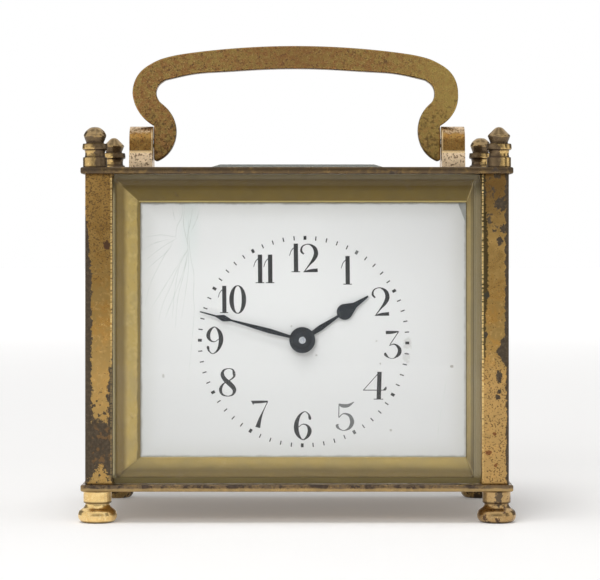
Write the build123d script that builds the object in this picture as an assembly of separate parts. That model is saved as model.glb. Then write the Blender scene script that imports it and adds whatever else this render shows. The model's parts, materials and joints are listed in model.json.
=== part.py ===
"""Small brass carriage clock with a bail handle and a platform escapement.

Millimetres. X runs to the right, Y to the back and Z up; the feet stand on Z = 0 and
the case is centred on X = Y = 0. Each piece is written to parts/ as its own STEP file,
in its place in the clock.
"""
import math
import os

from build123d import *

# Case
CASE_WIDTH = 94.0          # top and base plates, left to right
CASE_DEPTH = 62.0          # top and base plates, front to back
PLATE_THICKNESS = 1.5
PLATE_CORNER = 0.8         # radius of the plates' upright corners
PLATE_EDGE = 0.4           # rounding along the plates' edges
PLATE_OVERHANG = 1.0       # plates beyond the columns
COLUMN_SIDE = 5.87
COLUMN_HEIGHT = 67.45
FOOT_HEIGHT = 6.9
FOOT_RADIUS = 4.25
FOOT_INSET = 3.5           # foot axis from the plates' edges
FINIAL_HEIGHT = 8.8
FINIAL_RADIUS = 2.75
FINIAL_INSET = 3.0         # finial axis from the plates' edges
STUD_RADIUS = 1.2
STUD_DEPTH = 5.0           # studs of feet and finials into the columns

# Glasses
GLASS_THICKNESS = 2.0
GLASS_EDGE = 1.4           # what the bevel leaves at the rim
BEVEL_WIDTH = 2.4
GLASS_SETBACK = 1.7        # glass behind the columns' outer faces
GROOVE_DEPTH = 1.1
TOP_GLASS_WIDTH = 39.4
TOP_GLASS_DEPTH = 26.0
TOP_GLASS_RISE = 1.2       # top glass above the top plate
TOP_FRAME_THICKNESS = 1.0
TOP_FRAME_MARGIN = 3.0     # frame beyond the top glass
TOP_FRAME_LEDGE = 1.5      # frame under the top glass
SPIGOT_RADIUS = 0.6

# Back door
DOOR_THICKNESS = 2.8
DOOR_STILE = 5.5
DOOR_GAP = 0.3             # door to columns and plates
DOOR_SETBACK = 1.7         # door behind the columns' back faces
DOOR_PIN_RADIUS = 0.8
DOOR_PIN_LENGTH = 0.9      # hinge pins in the plates
DOOR_PIN_INSET = 2.5       # hinge axis from the column
DOOR_GLASS_THICKNESS = 1.6
DOOR_REBATE = 1.2
KNOB_RADIUS = 1.9
KNOB_LENGTH = 3.4

# Handle and lugs
HANDLE_INSET = 9.8         # handle's sides from the case's sides
HANDLE_WIDTH = CASE_WIDTH - 2 * HANDLE_INSET
HANDLE_THICKNESS = 3.3
HANDLE_BAR = 5.4           # width of the bar round the scrolls
HANDLE_CROWN = 5.15        # width of the bar at the middle
HANDLE_END = 3.9           # end faces beyond the scroll centres
HANDLE_EDGE = 0.35
SCROLL_HOLLOW = 3.0        # inner radius of the scrolls
SCROLL_RISE = 11.35        # scroll centres above the pivots
SCROLL_CROWN = 10.8        # middle of the bar above the scroll centres
LOBE_RADIUS = 8.0          # lower lobe of the scrolls
LOBE_ANGLE = -51.8         # from scroll centre to lobe centre
PIVOT_HEIGHT = 6.4         # pivots above the top plate
PIVOT_RADIUS = 1.0
PIVOT_DEPTH = 3.2          # pivot pins into the handle
LUG_WIDTH = 5.3
LUG_HEAD = 3.8             # radius of the lugs' round heads
LUG_FOOT_HEIGHT = 4.25
LUG_FOOT_DEPTH = 10.0
LUG_FLARE = 0.5
LUG_TENON = 1.5            # radius of the tenon through the top plate
LUG_GAP = 0.2              # handle to lugs

# Dial, mask and hands
DIAL_OFFSET = 1.15         # dial and movement to the right of the middle
DIAL_DROP = 2.6            # hands below mid height of the columns
MASK_SHEET = 0.6
MASK_SLOPE_DEPTH = 2.2
MASK_BORDER_X = 4.26       # dial opening to columns, mean of both sides
MASK_BORDER_TOP = 6.1      # dial opening to top plate
MASK_BORDER_BASE = 5.3     # dial opening to base plate
MASK_OFFSET = 0.2          # dial opening to the right of the hands
MASK_FLANGE = 1.4          # flat rim of the mask within the columns
MASK_LIP = 1.0
DIAL_THICKNESS = 1.0
DIAL_MARGIN = 1.6          # dial behind the mask
DIAL_HOLE = 2.6
DIAL_CHIP = (4.0, 10.4)    # corner broken off, width and height
DIAL_FOOT_RADIUS = 0.9
DIAL_FOOT_INSET = (4.5, 2.6)   # dial feet from the pillars, across and up
HOUR_LENGTH = 17.4
HOUR_ANGLE = 56.5          # clockwise from twelve
MINUTE_LENGTH = 23.4
MINUTE_ANGLE = 285.5
HAND_THICKNESS = 0.3
HAND_BOSS = 2.85
HAND_STEP = 0.35           # air between dial, hour hand and minute hand

# Movement frame
MOTION_SPACE = 5.5         # dial to front movement plate
FRAME_WIDTH = 66.0
FRAME_SHEET = 2.0
FRAME_SPACE = 22.0         # between the movement plates
PILLAR_RADIUS = 2.2
PILLAR_INSET = 4.5
SCREW_HEAD = 1.0           # head height of the pillar and base screws
SCREW_RADIUS = 0.9
SCREW_GRIP = 3.0           # thread in the pillars
BASE_SCREW_RADIUS = 0.7

# Going train: teeth and modules
GREAT_TEETH, CENTRE_LEAVES, GREAT_MODULE = 80, 10, 0.40
CENTRE_TEETH, THIRD_LEAVES, CENTRE_MODULE = 64, 8, 0.36
THIRD_TEETH, CONTRATE_LEAVES, THIRD_MODULE = 60, 8, 0.32
CROWN_TEETH, ESCAPE_LEAVES, CROWN_MODULE = 60, 6, 0.30
CANNON_TEETH, MINUTE_TEETH, CANNON_MODULE = 12, 36, 0.40
MINUTE_LEAVES, HOUR_TEETH = 10, 40
MINUTE_BEARING = -60.0     # minute wheel from the centre
MINUTE_POST = 0.9          # radius of the post it turns on
CANNON_PIPE = 1.6          # outer radius of the cannon pinion's pipe
CANNON_SEAT = 1.3          # the pipe where the minute hand sits
HOUR_PIPE = 2.2            # outer radius of the hour wheel's pipe
WHEEL_SHEET = 1.0
WHEEL_RIM = 1.3            # rim inside the tooth roots
PINION_FACE = 2.6          # length of the pinions' leaves
ARBOR_RADIUS = 0.6
ARBOR_PIVOT = 0.4
CENTRE_ARBOR_RADIUS = 1.0
ARBOR_TIP = 0.7            # centre arbor where it shows in the hands' boss
BARREL_ANGLE = 215.0       # barrel from the centre, anticlockwise from the right
CONTRATE_ANGLE = 70.0      # contrate wheel from the centre
ARBOR_GAP = 0.6            # contrate arbor past the centre wheel's teeth
GREAT_LEVEL = 1.5          # great wheel behind the front movement plate
GREAT_SHEET = 1.4
DRUM_WALL = 1.0
DRUM_LENGTH = 14.5
DRUM_STEP = 1.6            # drum inside the great wheel's roots
CAP_SHEET = 1.0
CENTRE_LEVEL = 1.0         # centre wheel behind the barrel
THIRD_LEVEL = 6.65         # third wheel behind the front movement plate
CROWN_LEVEL = 12.7         # contrate web behind the front movement plate
CROWN_FACE = 1.2           # length of the contrate teeth along the radius
CROWN_TOOTH = 0.6          # height of the contrate teeth

# Winding
BARREL_ARBOR_RADIUS = 2.0
BARREL_PIVOT = 1.5
BARREL_HUB = 2.9
WINDING_SQUARE = 2.1
WINDING_LENGTH = 8.0
SETTING_SQUARE = 1.35
SETTING_LENGTH = 6.0
RATCHET_TEETH = 24
RATCHET_RADIUS = 5.5
RATCHET_ROOT = 4.7
RATCHET_SHEET = 1.2
CLICK_POST = 0.8
CLICK_HEAD = 1.6
CLICK_STRIP = 0.35         # click spring thickness
SPRING_STRIP = 0.3         # mainspring thickness
SPRING_PITCH = 0.82
SPRING_TURNS = 11.0

# Platform escapement
PLATFORM_GAP = 1.6         # contrate wheel to platform
PLATFORM_SHEET = 1.6
PLATFORM_LEFT = 26.0       # platform to the left of the escape arbor
PLATFORM_RIGHT = 9.5
ESCAPE_TEETH = 15
ESCAPE_RADIUS = 3.4
ESCAPE_ROOT = 2.6
ESCAPE_SHEET = 0.5
ESCAPE_LEVEL = 1.6         # escape wheel above the platform
PALLET_GAP = 0.25
LEVER_DISTANCE = 4.0       # escape arbor to lever arbor
LEVER_HUB = 0.42
FORK_LENGTH = 6.0          # lever arbor to balance staff
BALANCE_RADIUS = 6.4
BALANCE_RIM = 1.0
BALANCE_HEIGHT = 1.2
BALANCE_LEVEL = 4.0
BALANCE_SCREWS = 8
STAFF_RADIUS = 0.5
STAFF_PIVOT = 0.25
COLLET_RADIUS = 0.9
HAIR_LEVEL = 6.0
HAIR_STRIP = 0.15
HAIR_HEIGHT = 0.5
HAIR_PITCH = 0.62
HAIR_TURNS = 4.5
HAIR_STUD = 0.35           # radius of the stud that holds the outer end
COCK_LEVEL = 7.2
COCK_SHEET = 1.2
COCK_WIDTH = 5.0
BRIDGE_LEVEL = 2.7
BRIDGE_SHEET = 0.7
PLATFORM_SCREW_RADIUS = 0.6
PLATFORM_SCREW_HEAD = 1.1

# Clearances
FIT = 0.03                 # fixed fits, on the radius
RUN = 0.06                 # running fits, on the radius
SEAT = 0.05                # glasses in their grooves
MASK_GAP = 0.15            # mask behind the columns
PIN_END_GAP = 0.15         # door pins to the bottoms of their holes
LEVEL_GAP = 0.3            # between turning pieces and their neighbours

# Levels and places that follow from the sizes above
BASE_TOP = FOOT_HEIGHT + PLATE_THICKNESS
TOP_UNDER = BASE_TOP + COLUMN_HEIGHT
TOP_TOP = TOP_UNDER + PLATE_THICKNESS
COLUMN_OUT = (CASE_WIDTH / 2 - PLATE_OVERHANG, CASE_DEPTH / 2 - PLATE_OVERHANG)
COLUMN_IN = (COLUMN_OUT[0] - COLUMN_SIDE, COLUMN_OUT[1] - COLUMN_SIDE)
MID_Z = (BASE_TOP + TOP_UNDER) / 2
CENTRE = (DIAL_OFFSET, MID_Z - DIAL_DROP)
MASK_FRONT = -COLUMN_IN[1] + MASK_GAP
LIP_BACK = MASK_FRONT + MASK_SLOPE_DEPTH + MASK_SHEET
DIAL_BACK = LIP_BACK + DIAL_THICKNESS
FRONT_FACE = DIAL_BACK + MOTION_SPACE
FRONT_IN = FRONT_FACE + FRAME_SHEET
BACK_IN = FRONT_IN + FRAME_SPACE
BACK_FACE = BACK_IN + FRAME_SHEET
CORNERS = {
    "front_left": (-1, -1),
    "front_right": (1, -1),
    "rear_left": (-1, 1),
    "rear_right": (1, 1),
}


def block(x, y, z):
    """A box between two X, two Y and two Z values, each pair in either order."""
    pairs = (x, y, z)
    middle = [(a + b) / 2 for a, b in pairs]
    size = [abs(b - a) for a, b in pairs]
    return Pos(*middle) * Box(*size)


def rod_x(radius, x, y, z):
    """A round bar along X between the two values in x."""
    length = abs(x[1] - x[0])
    return Pos((x[0] + x[1]) / 2, y, z) * Rot(0, 90, 0) * Cylinder(radius, length)


def rod_y(radius, x, y, z):
    """A round bar along Y between the two values in y."""
    length = abs(y[1] - y[0])
    return Pos(x, (y[0] + y[1]) / 2, z) * Rot(90, 0, 0) * Cylinder(radius, length)


def rod_z(radius, x, y, z):
    """A round bar along Z between the two values in z."""
    length = abs(z[1] - z[0])
    return Pos(x, y, (z[0] + z[1]) / 2) * Cylinder(radius, length)


def slab_y(sketch, y, place=(0.0, 0.0)):
    """A flat outline drawn in X and Z, carried along Y between the two values in y."""
    front, back = min(y), max(y)
    solid = extrude(sketch, back - front)
    return Pos(place[0], back, place[1]) * Rot(90, 0, 0) * solid


def slab_z(sketch, z, place=(0.0, 0.0)):
    """A flat outline drawn in X and Y, carried along Z between the two values in z."""
    low, high = min(z), max(z)
    return Pos(place[0], place[1], low) * extrude(sketch, high - low)


def turned(steps):
    """A turned solid about Z from (radius, height, bulge) steps, bottom to top.

    The bulge is the rise of a round stretch from the step before over the length of its
    chord, outward when positive. A step on the axis ends the solid in a spherical cap.
    """
    outline = Line((0, steps[0][1]), steps[0][:2])
    for (r0, z0, _), (r1, z1, bulge) in zip(steps, steps[1:]):
        if r1 == 0:
            cap_radius = (r0**2 + (z1 - z0)**2) / (2 * (z1 - z0))
            middle = z1 - cap_radius
            start = math.degrees(math.atan2(z0 - middle, r0))
            outline += CenterArc((0, middle), cap_radius, start, 90 - start)
        elif bulge:
            chord = math.dist((r0, z0), (r1, z1))
            outline += SagittaArc((r0, z0), (r1, z1), -bulge * chord)
        else:
            outline += Line((r0, z0), (r1, z1))
    if steps[-1][0] > 0:
        outline += Line(steps[-1][:2], (0, steps[-1][1]))
    outline += Line((0, steps[-1][1]), (0, steps[0][1]))
    return revolve(Plane.XZ * make_face(outline), Axis.Z)


def polar(radius, degrees):
    """The point at a radius and an angle."""
    angle = math.radians(degrees)
    return radius * math.cos(angle), radius * math.sin(angle)


def toothed(teeth, root, tip, root_share, tip_share, phase=0.0):
    """A toothed outline; shares are a tooth's width at root and tip over the pitch."""
    pitch = 360.0 / teeth
    points = []
    for i in range(teeth):
        middle = phase + i * pitch
        points.append(polar(root, middle - pitch * root_share / 2))
        points.append(polar(tip, middle - pitch * tip_share / 2))
        points.append(polar(tip, middle + pitch * tip_share / 2))
        points.append(polar(root, middle + pitch * root_share / 2))
    return make_face(Polyline(*points, close=True))


def wheel_outline(teeth, module, phase=0.0):
    """Wheel teeth about the pitch circle of teeth times module."""
    pitch_radius = teeth * module / 2
    return toothed(teeth, pitch_radius - 1.15 * module, pitch_radius + 0.8 * module,
                   0.50, 0.14, phase)


def pinion_outline(leaves, module, phase=0.0):
    """Pinion leaves about the pitch circle of leaves times module."""
    pitch_radius = leaves * module / 2
    return toothed(leaves, pitch_radius - 1.05 * module, pitch_radius + 0.55 * module,
                   0.34, 0.22, phase)


def crossed_out(outline, rim, hub, spoke, arms=4):
    """A wheel outline pierced between rim and hub, leaving straight arms."""
    cross = Circle(hub)
    for i in range(arms):
        reach = Pos(rim / 2 + 0.2, 0) * Rectangle(rim + 0.4, spoke)
        cross += Rot(0, 0, i * 360.0 / arms) * reach
    return outline - Circle(rim) + cross


def spiral(start, pitch, turns, strip):
    """A flat spiral strip of half circles, and its least gap to itself.

    Half circles about two centres a half pitch apart grow by a half pitch each.
    """
    quarter = pitch / 4
    halves = int(round(turns * 2))
    outer, inner, points = [], [], []
    for i in range(halves):
        side = -1 if i % 2 == 0 else 1
        radius = start + 2 * quarter * i
        first = 0 if i % 2 == 0 else 180
        centre = (side * quarter, 0)
        outer.append(CenterArc(centre, radius + strip / 2, first, 180))
        inner.append(CenterArc(centre, radius - strip / 2, first, 180))
        for j in range(18):
            x, y = polar(radius, first + j * 10)
            points.append((x + centre[0], y))
    outline = Curve() + outer + inner
    outline += Line(outer[0] @ 0, inner[0] @ 0)
    outline += Line(outer[-1] @ 1, inner[-1] @ 1)
    least = min(math.dist(a, b) for i, a in enumerate(points) for b in points[i + 19:])
    return make_face(outline), least - strip


def circle_meet(a, radius_a, b, radius_b):
    """The right-hand meeting point of two circles, seen from a towards b."""
    gap = math.dist(a, b)
    along = (radius_a**2 - radius_b**2 + gap**2) / (2 * gap)
    across = math.sqrt(radius_a**2 - along**2)
    ux, uz = (b[0] - a[0]) / gap, (b[1] - a[1]) / gap
    return a[0] + along * ux + across * uz, a[1] + along * uz - across * ux


def bevelled(width, height):
    """A bevelled glass: outline in X and Y, flat back on Z = 0."""
    back = Pos(0, 0, GLASS_EDGE / 2) * Box(width, height, GLASS_EDGE)
    low = Pos(0, 0, GLASS_EDGE) * Rectangle(width, height)
    high = Pos(0, 0, GLASS_THICKNESS) * Rectangle(width - 2 * BEVEL_WIDTH, height - 2 * BEVEL_WIDTH)
    return back + loft([low, high])


pieces = {}

# Plates, with the holes for studs, tenons, screws and door pins
hinge = (COLUMN_IN[0] - DOOR_PIN_INSET, COLUMN_OUT[1] - DOOR_SETBACK - DOOR_THICKNESS / 2)
pillar_x = [CENTRE[0] + side * (FRAME_WIDTH / 2 - PILLAR_INSET) for side in (-1, 1)]
frame_mid = (FRONT_IN + BACK_IN) / 2
lug_in = HANDLE_WIDTH / 2 - SCROLL_HOLLOW - HANDLE_BAR + HANDLE_END + LUG_GAP
lug_mid = lug_in + LUG_WIDTH / 2


def case_plate(low):
    """A plate of the case with rounded corners and edges."""
    plate = slab_z(RectangleRounded(CASE_WIDTH, CASE_DEPTH, PLATE_CORNER), (low, low + PLATE_THICKNESS))
    edges = plate.edges().group_by(Axis.Z)
    return fillet(edges[0] + edges[-1], PLATE_EDGE)


base = case_plate(FOOT_HEIGHT)
top = case_plate(TOP_UNDER)
for sx, sy in CORNERS.values():
    foot_axis = (sx * (CASE_WIDTH / 2 - FOOT_INSET), sy * (CASE_DEPTH / 2 - FOOT_INSET))
    base -= rod_z(STUD_RADIUS + FIT, *foot_axis, (FOOT_HEIGHT, BASE_TOP))
    finial_axis = (sx * (CASE_WIDTH / 2 - FINIAL_INSET), sy * (CASE_DEPTH / 2 - FINIAL_INSET))
    top -= rod_z(STUD_RADIUS + FIT, *finial_axis, (TOP_UNDER, TOP_TOP))
for x in pillar_x:
    base -= rod_z(BASE_SCREW_RADIUS + RUN, x, frame_mid, (FOOT_HEIGHT, BASE_TOP))
pin_hole = DOOR_PIN_LENGTH + PIN_END_GAP
base -= rod_z(DOOR_PIN_RADIUS + RUN, *hinge, (BASE_TOP - pin_hole, BASE_TOP))
top -= rod_z(DOOR_PIN_RADIUS + RUN, *hinge, (TOP_UNDER, TOP_UNDER + pin_hole))
window = Rectangle(TOP_GLASS_WIDTH + 2 * SEAT, TOP_GLASS_DEPTH + 2 * SEAT)
top -= slab_z(window, (TOP_UNDER, TOP_TOP))
for side in (-1, 1):
    top -= rod_z(LUG_TENON + FIT, side * lug_mid, 0, (TOP_UNDER, TOP_TOP))
spigots = [
    (sx * (TOP_GLASS_WIDTH + TOP_FRAME_MARGIN) / 2, sy * (TOP_GLASS_DEPTH + TOP_FRAME_MARGIN) / 2)
    for sx, sy in CORNERS.values()
]
spigot_top = TOP_UNDER + PLATE_THICKNESS / 2
for spot in spigots:
    top -= rod_z(SPIGOT_RADIUS + FIT, *spot, (TOP_UNDER, spigot_top))
pieces["base_plate"] = base
pieces["top_plate"] = top

# Columns grooved for the glasses, feet and finials with studs into them
glass_reach = GROOVE_DEPTH - SEAT
mouth = GLASS_EDGE + (GLASS_THICKNESS - GLASS_EDGE) * GROOVE_DEPTH / BEVEL_WIDTH
groove_out = GLASS_SETBACK + GLASS_THICKNESS - mouth - SEAT
groove_in = GLASS_SETBACK + GLASS_THICKNESS + SEAT
foot_profile = [
    (0.78 * FOOT_RADIUS, 0.0, 0.0),
    (FOOT_RADIUS, 0.20 * FOOT_HEIGHT, 0.16),
    (0.86 * FOOT_RADIUS, 0.36 * FOOT_HEIGHT, 0.12),
    (0.62 * FOOT_RADIUS, 0.52 * FOOT_HEIGHT, -0.12),
    (0.62 * FOOT_RADIUS, 0.61 * FOOT_HEIGHT, 0.0),
    (0.72 * FOOT_RADIUS, 0.63 * FOOT_HEIGHT, 0.0),
    (0.72 * FOOT_RADIUS, FOOT_HEIGHT, 0.0),
]
finial_profile = [
    (FINIAL_RADIUS, 0.0, 0.0),
    (FINIAL_RADIUS, 0.20 * FINIAL_HEIGHT, 0.0),
    (0.84 * FINIAL_RADIUS, 0.27 * FINIAL_HEIGHT, 0.15),
    (0.84 * FINIAL_RADIUS, 0.42 * FINIAL_HEIGHT, -0.08),
    (0.96 * FINIAL_RADIUS, 0.43 * FINIAL_HEIGHT, 0.0),
    (0.96 * FINIAL_RADIUS, 0.56 * FINIAL_HEIGHT, 0.12),
    (0.66 * FINIAL_RADIUS, 0.61 * FINIAL_HEIGHT, 0.0),
    (0.88 * FINIAL_RADIUS, 0.73 * FINIAL_HEIGHT, 0.06),
    (0.80 * FINIAL_RADIUS, 0.80 * FINIAL_HEIGHT, 0.15),
    (0.36 * FINIAL_RADIUS, 0.95 * FINIAL_HEIGHT, 0.04),
    (0.0, FINIAL_HEIGHT, 0.0),
]
for name, (sx, sy) in CORNERS.items():
    x_in, y_in = sx * COLUMN_IN[0], sy * COLUMN_IN[1]
    x_out, y_out = sx * COLUMN_OUT[0], sy * COLUMN_OUT[1]
    column = block((x_in, x_out), (y_in, y_out), (BASE_TOP, TOP_UNDER))
    full = (BASE_TOP, TOP_UNDER)
    side_groove = (x_out - sx * groove_out, x_out - sx * groove_in)
    column -= block(side_groove, (y_in, y_in + sy * GROOVE_DEPTH), full)
    if sy < 0:
        front_groove = (y_out - sy * groove_out, y_out - sy * groove_in)
        column -= block((x_in, x_in + sx * GROOVE_DEPTH), front_groove, full)
    foot_at = (sx * (CASE_WIDTH / 2 - FOOT_INSET), sy * (CASE_DEPTH / 2 - FOOT_INSET))
    finial_at = (sx * (CASE_WIDTH / 2 - FINIAL_INSET), sy * (CASE_DEPTH / 2 - FINIAL_INSET))
    column -= rod_z(STUD_RADIUS + FIT, *foot_at, (BASE_TOP, BASE_TOP + STUD_DEPTH + LEVEL_GAP))
    column -= rod_z(STUD_RADIUS + FIT, *finial_at, (TOP_UNDER - STUD_DEPTH - LEVEL_GAP, TOP_UNDER))
    pieces["column_" + name] = column
    foot = Pos(*foot_at, 0) * turned(foot_profile)
    pieces["foot_" + name] = foot + rod_z(STUD_RADIUS, *foot_at, (FOOT_HEIGHT - 0.5, BASE_TOP + STUD_DEPTH))
    finial = Pos(*finial_at, TOP_TOP) * turned(finial_profile)
    pieces["finial_" + name] = finial + rod_z(STUD_RADIUS, *finial_at, (TOP_UNDER - STUD_DEPTH, TOP_TOP + 0.5))

# Glasses: front, sides, and the raised top glass on its frame
pane_height = COLUMN_HEIGHT - 2 * SEAT
front_pane = bevelled(2 * (COLUMN_IN[0] + glass_reach), pane_height)
glass_back = GLASS_SETBACK + GLASS_THICKNESS
pieces["front_glass"] = Pos(0, -COLUMN_OUT[1] + glass_back, MID_Z) * Rot(90, 0, 0) * front_pane
side_pane = bevelled(pane_height, 2 * (COLUMN_IN[1] + glass_reach))
pieces["right_glass"] = Pos(COLUMN_OUT[0] - glass_back, 0, MID_Z) * Rot(0, 90, 0) * side_pane
pieces["left_glass"] = Pos(-COLUMN_OUT[0] + glass_back, 0, MID_Z) * Rot(0, -90, 0) * side_pane
top_pane = slab_z(Rectangle(TOP_GLASS_WIDTH, TOP_GLASS_DEPTH), (TOP_UNDER, TOP_TOP + TOP_GLASS_RISE / 3))
bevel_low = Pos(0, 0, TOP_TOP + TOP_GLASS_RISE / 3) * Rectangle(TOP_GLASS_WIDTH, TOP_GLASS_DEPTH)
bevel_high = Pos(0, 0, TOP_TOP + TOP_GLASS_RISE) * Rectangle(
    TOP_GLASS_WIDTH - 2 * BEVEL_WIDTH, TOP_GLASS_DEPTH - 2 * BEVEL_WIDTH)
pieces["top_glass"] = top_pane + loft([bevel_low, bevel_high])
frame_out = Rectangle(TOP_GLASS_WIDTH + 2 * TOP_FRAME_MARGIN, TOP_GLASS_DEPTH + 2 * TOP_FRAME_MARGIN)
frame_in = Rectangle(TOP_GLASS_WIDTH - 2 * TOP_FRAME_LEDGE, TOP_GLASS_DEPTH - 2 * TOP_FRAME_LEDGE)
top_frame = slab_z(frame_out - frame_in, (TOP_UNDER - TOP_FRAME_THICKNESS, TOP_UNDER))
for spot in spigots:
    top_frame += rod_z(SPIGOT_RADIUS, *spot, (TOP_UNDER - 0.5, spigot_top - LEVEL_GAP))
pieces["top_glass_frame"] = top_frame

# Back door: frame with hinge pins, glass in a rebate, knob
door_y = (COLUMN_OUT[1] - DOOR_SETBACK - DOOR_THICKNESS, COLUMN_OUT[1] - DOOR_SETBACK)
door_half = COLUMN_IN[0] - DOOR_GAP
door_z = (BASE_TOP + DOOR_GAP, TOP_UNDER - DOOR_GAP)
door = block((-door_half, door_half), door_y, door_z)
hinge_edges = door.edges().filter_by(Axis.Z).group_by(Axis.X)[-1]
door = fillet(hinge_edges, DOOR_THICKNESS * 0.43)
light_x = (-door_half + DOOR_STILE, door_half - DOOR_STILE)
light_z = (door_z[0] + DOOR_STILE, door_z[1] - DOOR_STILE)
door -= block(light_x, door_y, light_z)
rebate_x = (light_x[0] - DOOR_REBATE, light_x[1] + DOOR_REBATE)
rebate_z = (light_z[0] - DOOR_REBATE, light_z[1] + DOOR_REBATE)
rebate_y = (door_y[0], door_y[0] + DOOR_GLASS_THICKNESS + SEAT)
door -= block(rebate_x, rebate_y, rebate_z)
knob_at = (-door_half + DOOR_STILE / 2, MID_Z)
door -= rod_y(KNOB_RADIUS / 2 + FIT, knob_at[0], door_y, knob_at[1])
door += rod_z(DOOR_PIN_RADIUS, *hinge, (door_z[0] - DOOR_GAP - DOOR_PIN_LENGTH, door_z[0] + 0.5))
door += rod_z(DOOR_PIN_RADIUS, *hinge, (door_z[1] - 0.5, door_z[1] + DOOR_GAP + DOOR_PIN_LENGTH))
pieces["door_frame"] = door
pieces["door_glass"] = block(
    (rebate_x[0] + SEAT, rebate_x[1] - SEAT),
    (rebate_y[1] - DOOR_GLASS_THICKNESS, rebate_y[1]),
    (rebate_z[0] + SEAT, rebate_z[1] - SEAT))
knob = turned([
    (0.60 * KNOB_RADIUS, 0.0, 0.0),
    (0.60 * KNOB_RADIUS, 0.35 * KNOB_LENGTH, -0.08),
    (KNOB_RADIUS, 0.62 * KNOB_LENGTH, 0.12),
    (0.60 * KNOB_RADIUS, 0.92 * KNOB_LENGTH, 0.15),
    (0.0, KNOB_LENGTH, 0.0),
])
knob += rod_z(KNOB_RADIUS / 2, 0, 0, (0.5, -DOOR_THICKNESS))
pieces["door_knob"] = Pos(knob_at[0], door_y[1], knob_at[1]) * Rot(-90, 0, 0) * knob

# Handle: a flat bail with scrolled ends, swinging on pins in two lugs
pivot_z = TOP_TOP + PIVOT_HEIGHT
scroll = (HANDLE_WIDTH / 2 - SCROLL_HOLLOW - HANDLE_BAR, pivot_z + SCROLL_RISE)
end_x = lug_in - LUG_GAP


def crown_arc(apex, radius):
    """Centre height and radius of the arc through the apex that touches a scroll circle."""
    rise = apex - scroll[1]
    arc_radius = (scroll[0]**2 + rise**2 - radius**2) / (2 * (rise - radius))
    return apex - arc_radius, arc_radius


def handle_half():
    """The right half of the handle's outline in X and Z."""
    outer_radius = SCROLL_HOLLOW + HANDLE_BAR
    outer_apex = scroll[1] + SCROLL_CROWN
    outer_mid, outer_crown = crown_arc(outer_apex, outer_radius)
    inner_mid, inner_crown = crown_arc(outer_apex - HANDLE_CROWN, SCROLL_HOLLOW)
    outer_turn = math.degrees(math.atan2(scroll[1] - outer_mid, scroll[0]))
    inner_turn = math.degrees(math.atan2(scroll[1] - inner_mid, scroll[0]))
    reach = polar(SCROLL_HOLLOW + LOBE_RADIUS, LOBE_ANGLE)
    lobe = (scroll[0] + reach[0], scroll[1] + reach[1])
    cut_high = -math.degrees(math.acos((end_x - scroll[0]) / outer_radius))
    cut_low = 360.0 - math.degrees(math.acos((end_x - lobe[0]) / LOBE_RADIUS))
    lobe_start = LOBE_ANGLE + 180.0
    outline = CenterArc((0, outer_mid), outer_crown, 90, outer_turn - 90)
    outline += CenterArc(scroll, outer_radius, outer_turn, cut_high - outer_turn)
    lobe_arc = CenterArc(lobe, LOBE_RADIUS, cut_low, lobe_start - cut_low)
    end_top = (end_x, scroll[1] + polar(outer_radius, cut_high)[1])
    outline += Line(end_top, lobe_arc @ 0)
    outline += lobe_arc
    outline += CenterArc(scroll, SCROLL_HOLLOW, LOBE_ANGLE, inner_turn - LOBE_ANGLE)
    outline += CenterArc((0, inner_mid), inner_crown, inner_turn, 90 - inner_turn)
    outline += Line((0, outer_apex - HANDLE_CROWN), (0, outer_apex))
    return make_face(outline)


half_handle = slab_y(handle_half(), (-HANDLE_THICKNESS / 2, HANDLE_THICKNESS / 2))
handle = half_handle + mirror(half_handle, Plane.YZ)
faces = handle.faces().sort_by(Axis.Y)
handle = fillet(faces[0].edges() + faces[-1].edges(), HANDLE_EDGE)
for side in (-1, 1):
    handle -= rod_x(PIVOT_RADIUS + RUN, (side * end_x, side * (end_x - PIVOT_DEPTH - LEVEL_GAP)), 0, pivot_z)
pieces["handle"] = handle
pins = []
for side, name in ((-1, "left"), (1, "right")):
    inner, outer = side * lug_in, side * (lug_in + LUG_WIDTH)
    foot_low = Pos(side * lug_mid, 0, TOP_TOP) * Rectangle(LUG_WIDTH + 2 * LUG_FLARE * 0.4, LUG_FOOT_DEPTH)
    foot_high = Pos(side * lug_mid, 0, TOP_TOP + LUG_FOOT_HEIGHT) * Rectangle(LUG_WIDTH, 2 * LUG_HEAD + LUG_FLARE)
    lug = loft([foot_low, foot_high])
    lug += block((inner, outer), (-LUG_HEAD, LUG_HEAD), (TOP_TOP + 1.0, pivot_z))
    lug += rod_x(LUG_HEAD, (inner, outer), 0, pivot_z)
    lug += rod_z(LUG_TENON, side * lug_mid, 0, (TOP_UNDER, TOP_TOP + 1.0))
    lug -= rod_x(PIVOT_RADIUS + FIT, (inner, outer), 0, pivot_z)
    pieces["handle_lug_" + name] = lug
    pins.append(rod_x(PIVOT_RADIUS, (side * (end_x - PIVOT_DEPTH), outer), 0, pivot_z))
pieces["handle_pins"] = Compound(children=pins)

# Mask and dial
open_mid = DIAL_OFFSET + MASK_OFFSET
open_half = COLUMN_IN[0] - MASK_BORDER_X
open_x = (open_mid - open_half, open_mid + open_half)
open_z = (BASE_TOP + MASK_BORDER_BASE, TOP_UNDER - MASK_BORDER_TOP)
brow_x = COLUMN_IN[0] - MASK_FLANGE
brow_z = (BASE_TOP + MASK_FLANGE, TOP_UNDER - MASK_FLANGE)


def face_at(y, x, z, grow=0.0):
    """A rectangle across Y at one depth, grown on every side."""
    sketch = Rectangle(x[1] - x[0] + 2 * grow, z[1] - z[0] + 2 * grow)
    return Pos((x[0] + x[1]) / 2, y, (z[0] + z[1]) / 2) * Rot(90, 0, 0) * sketch


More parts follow.
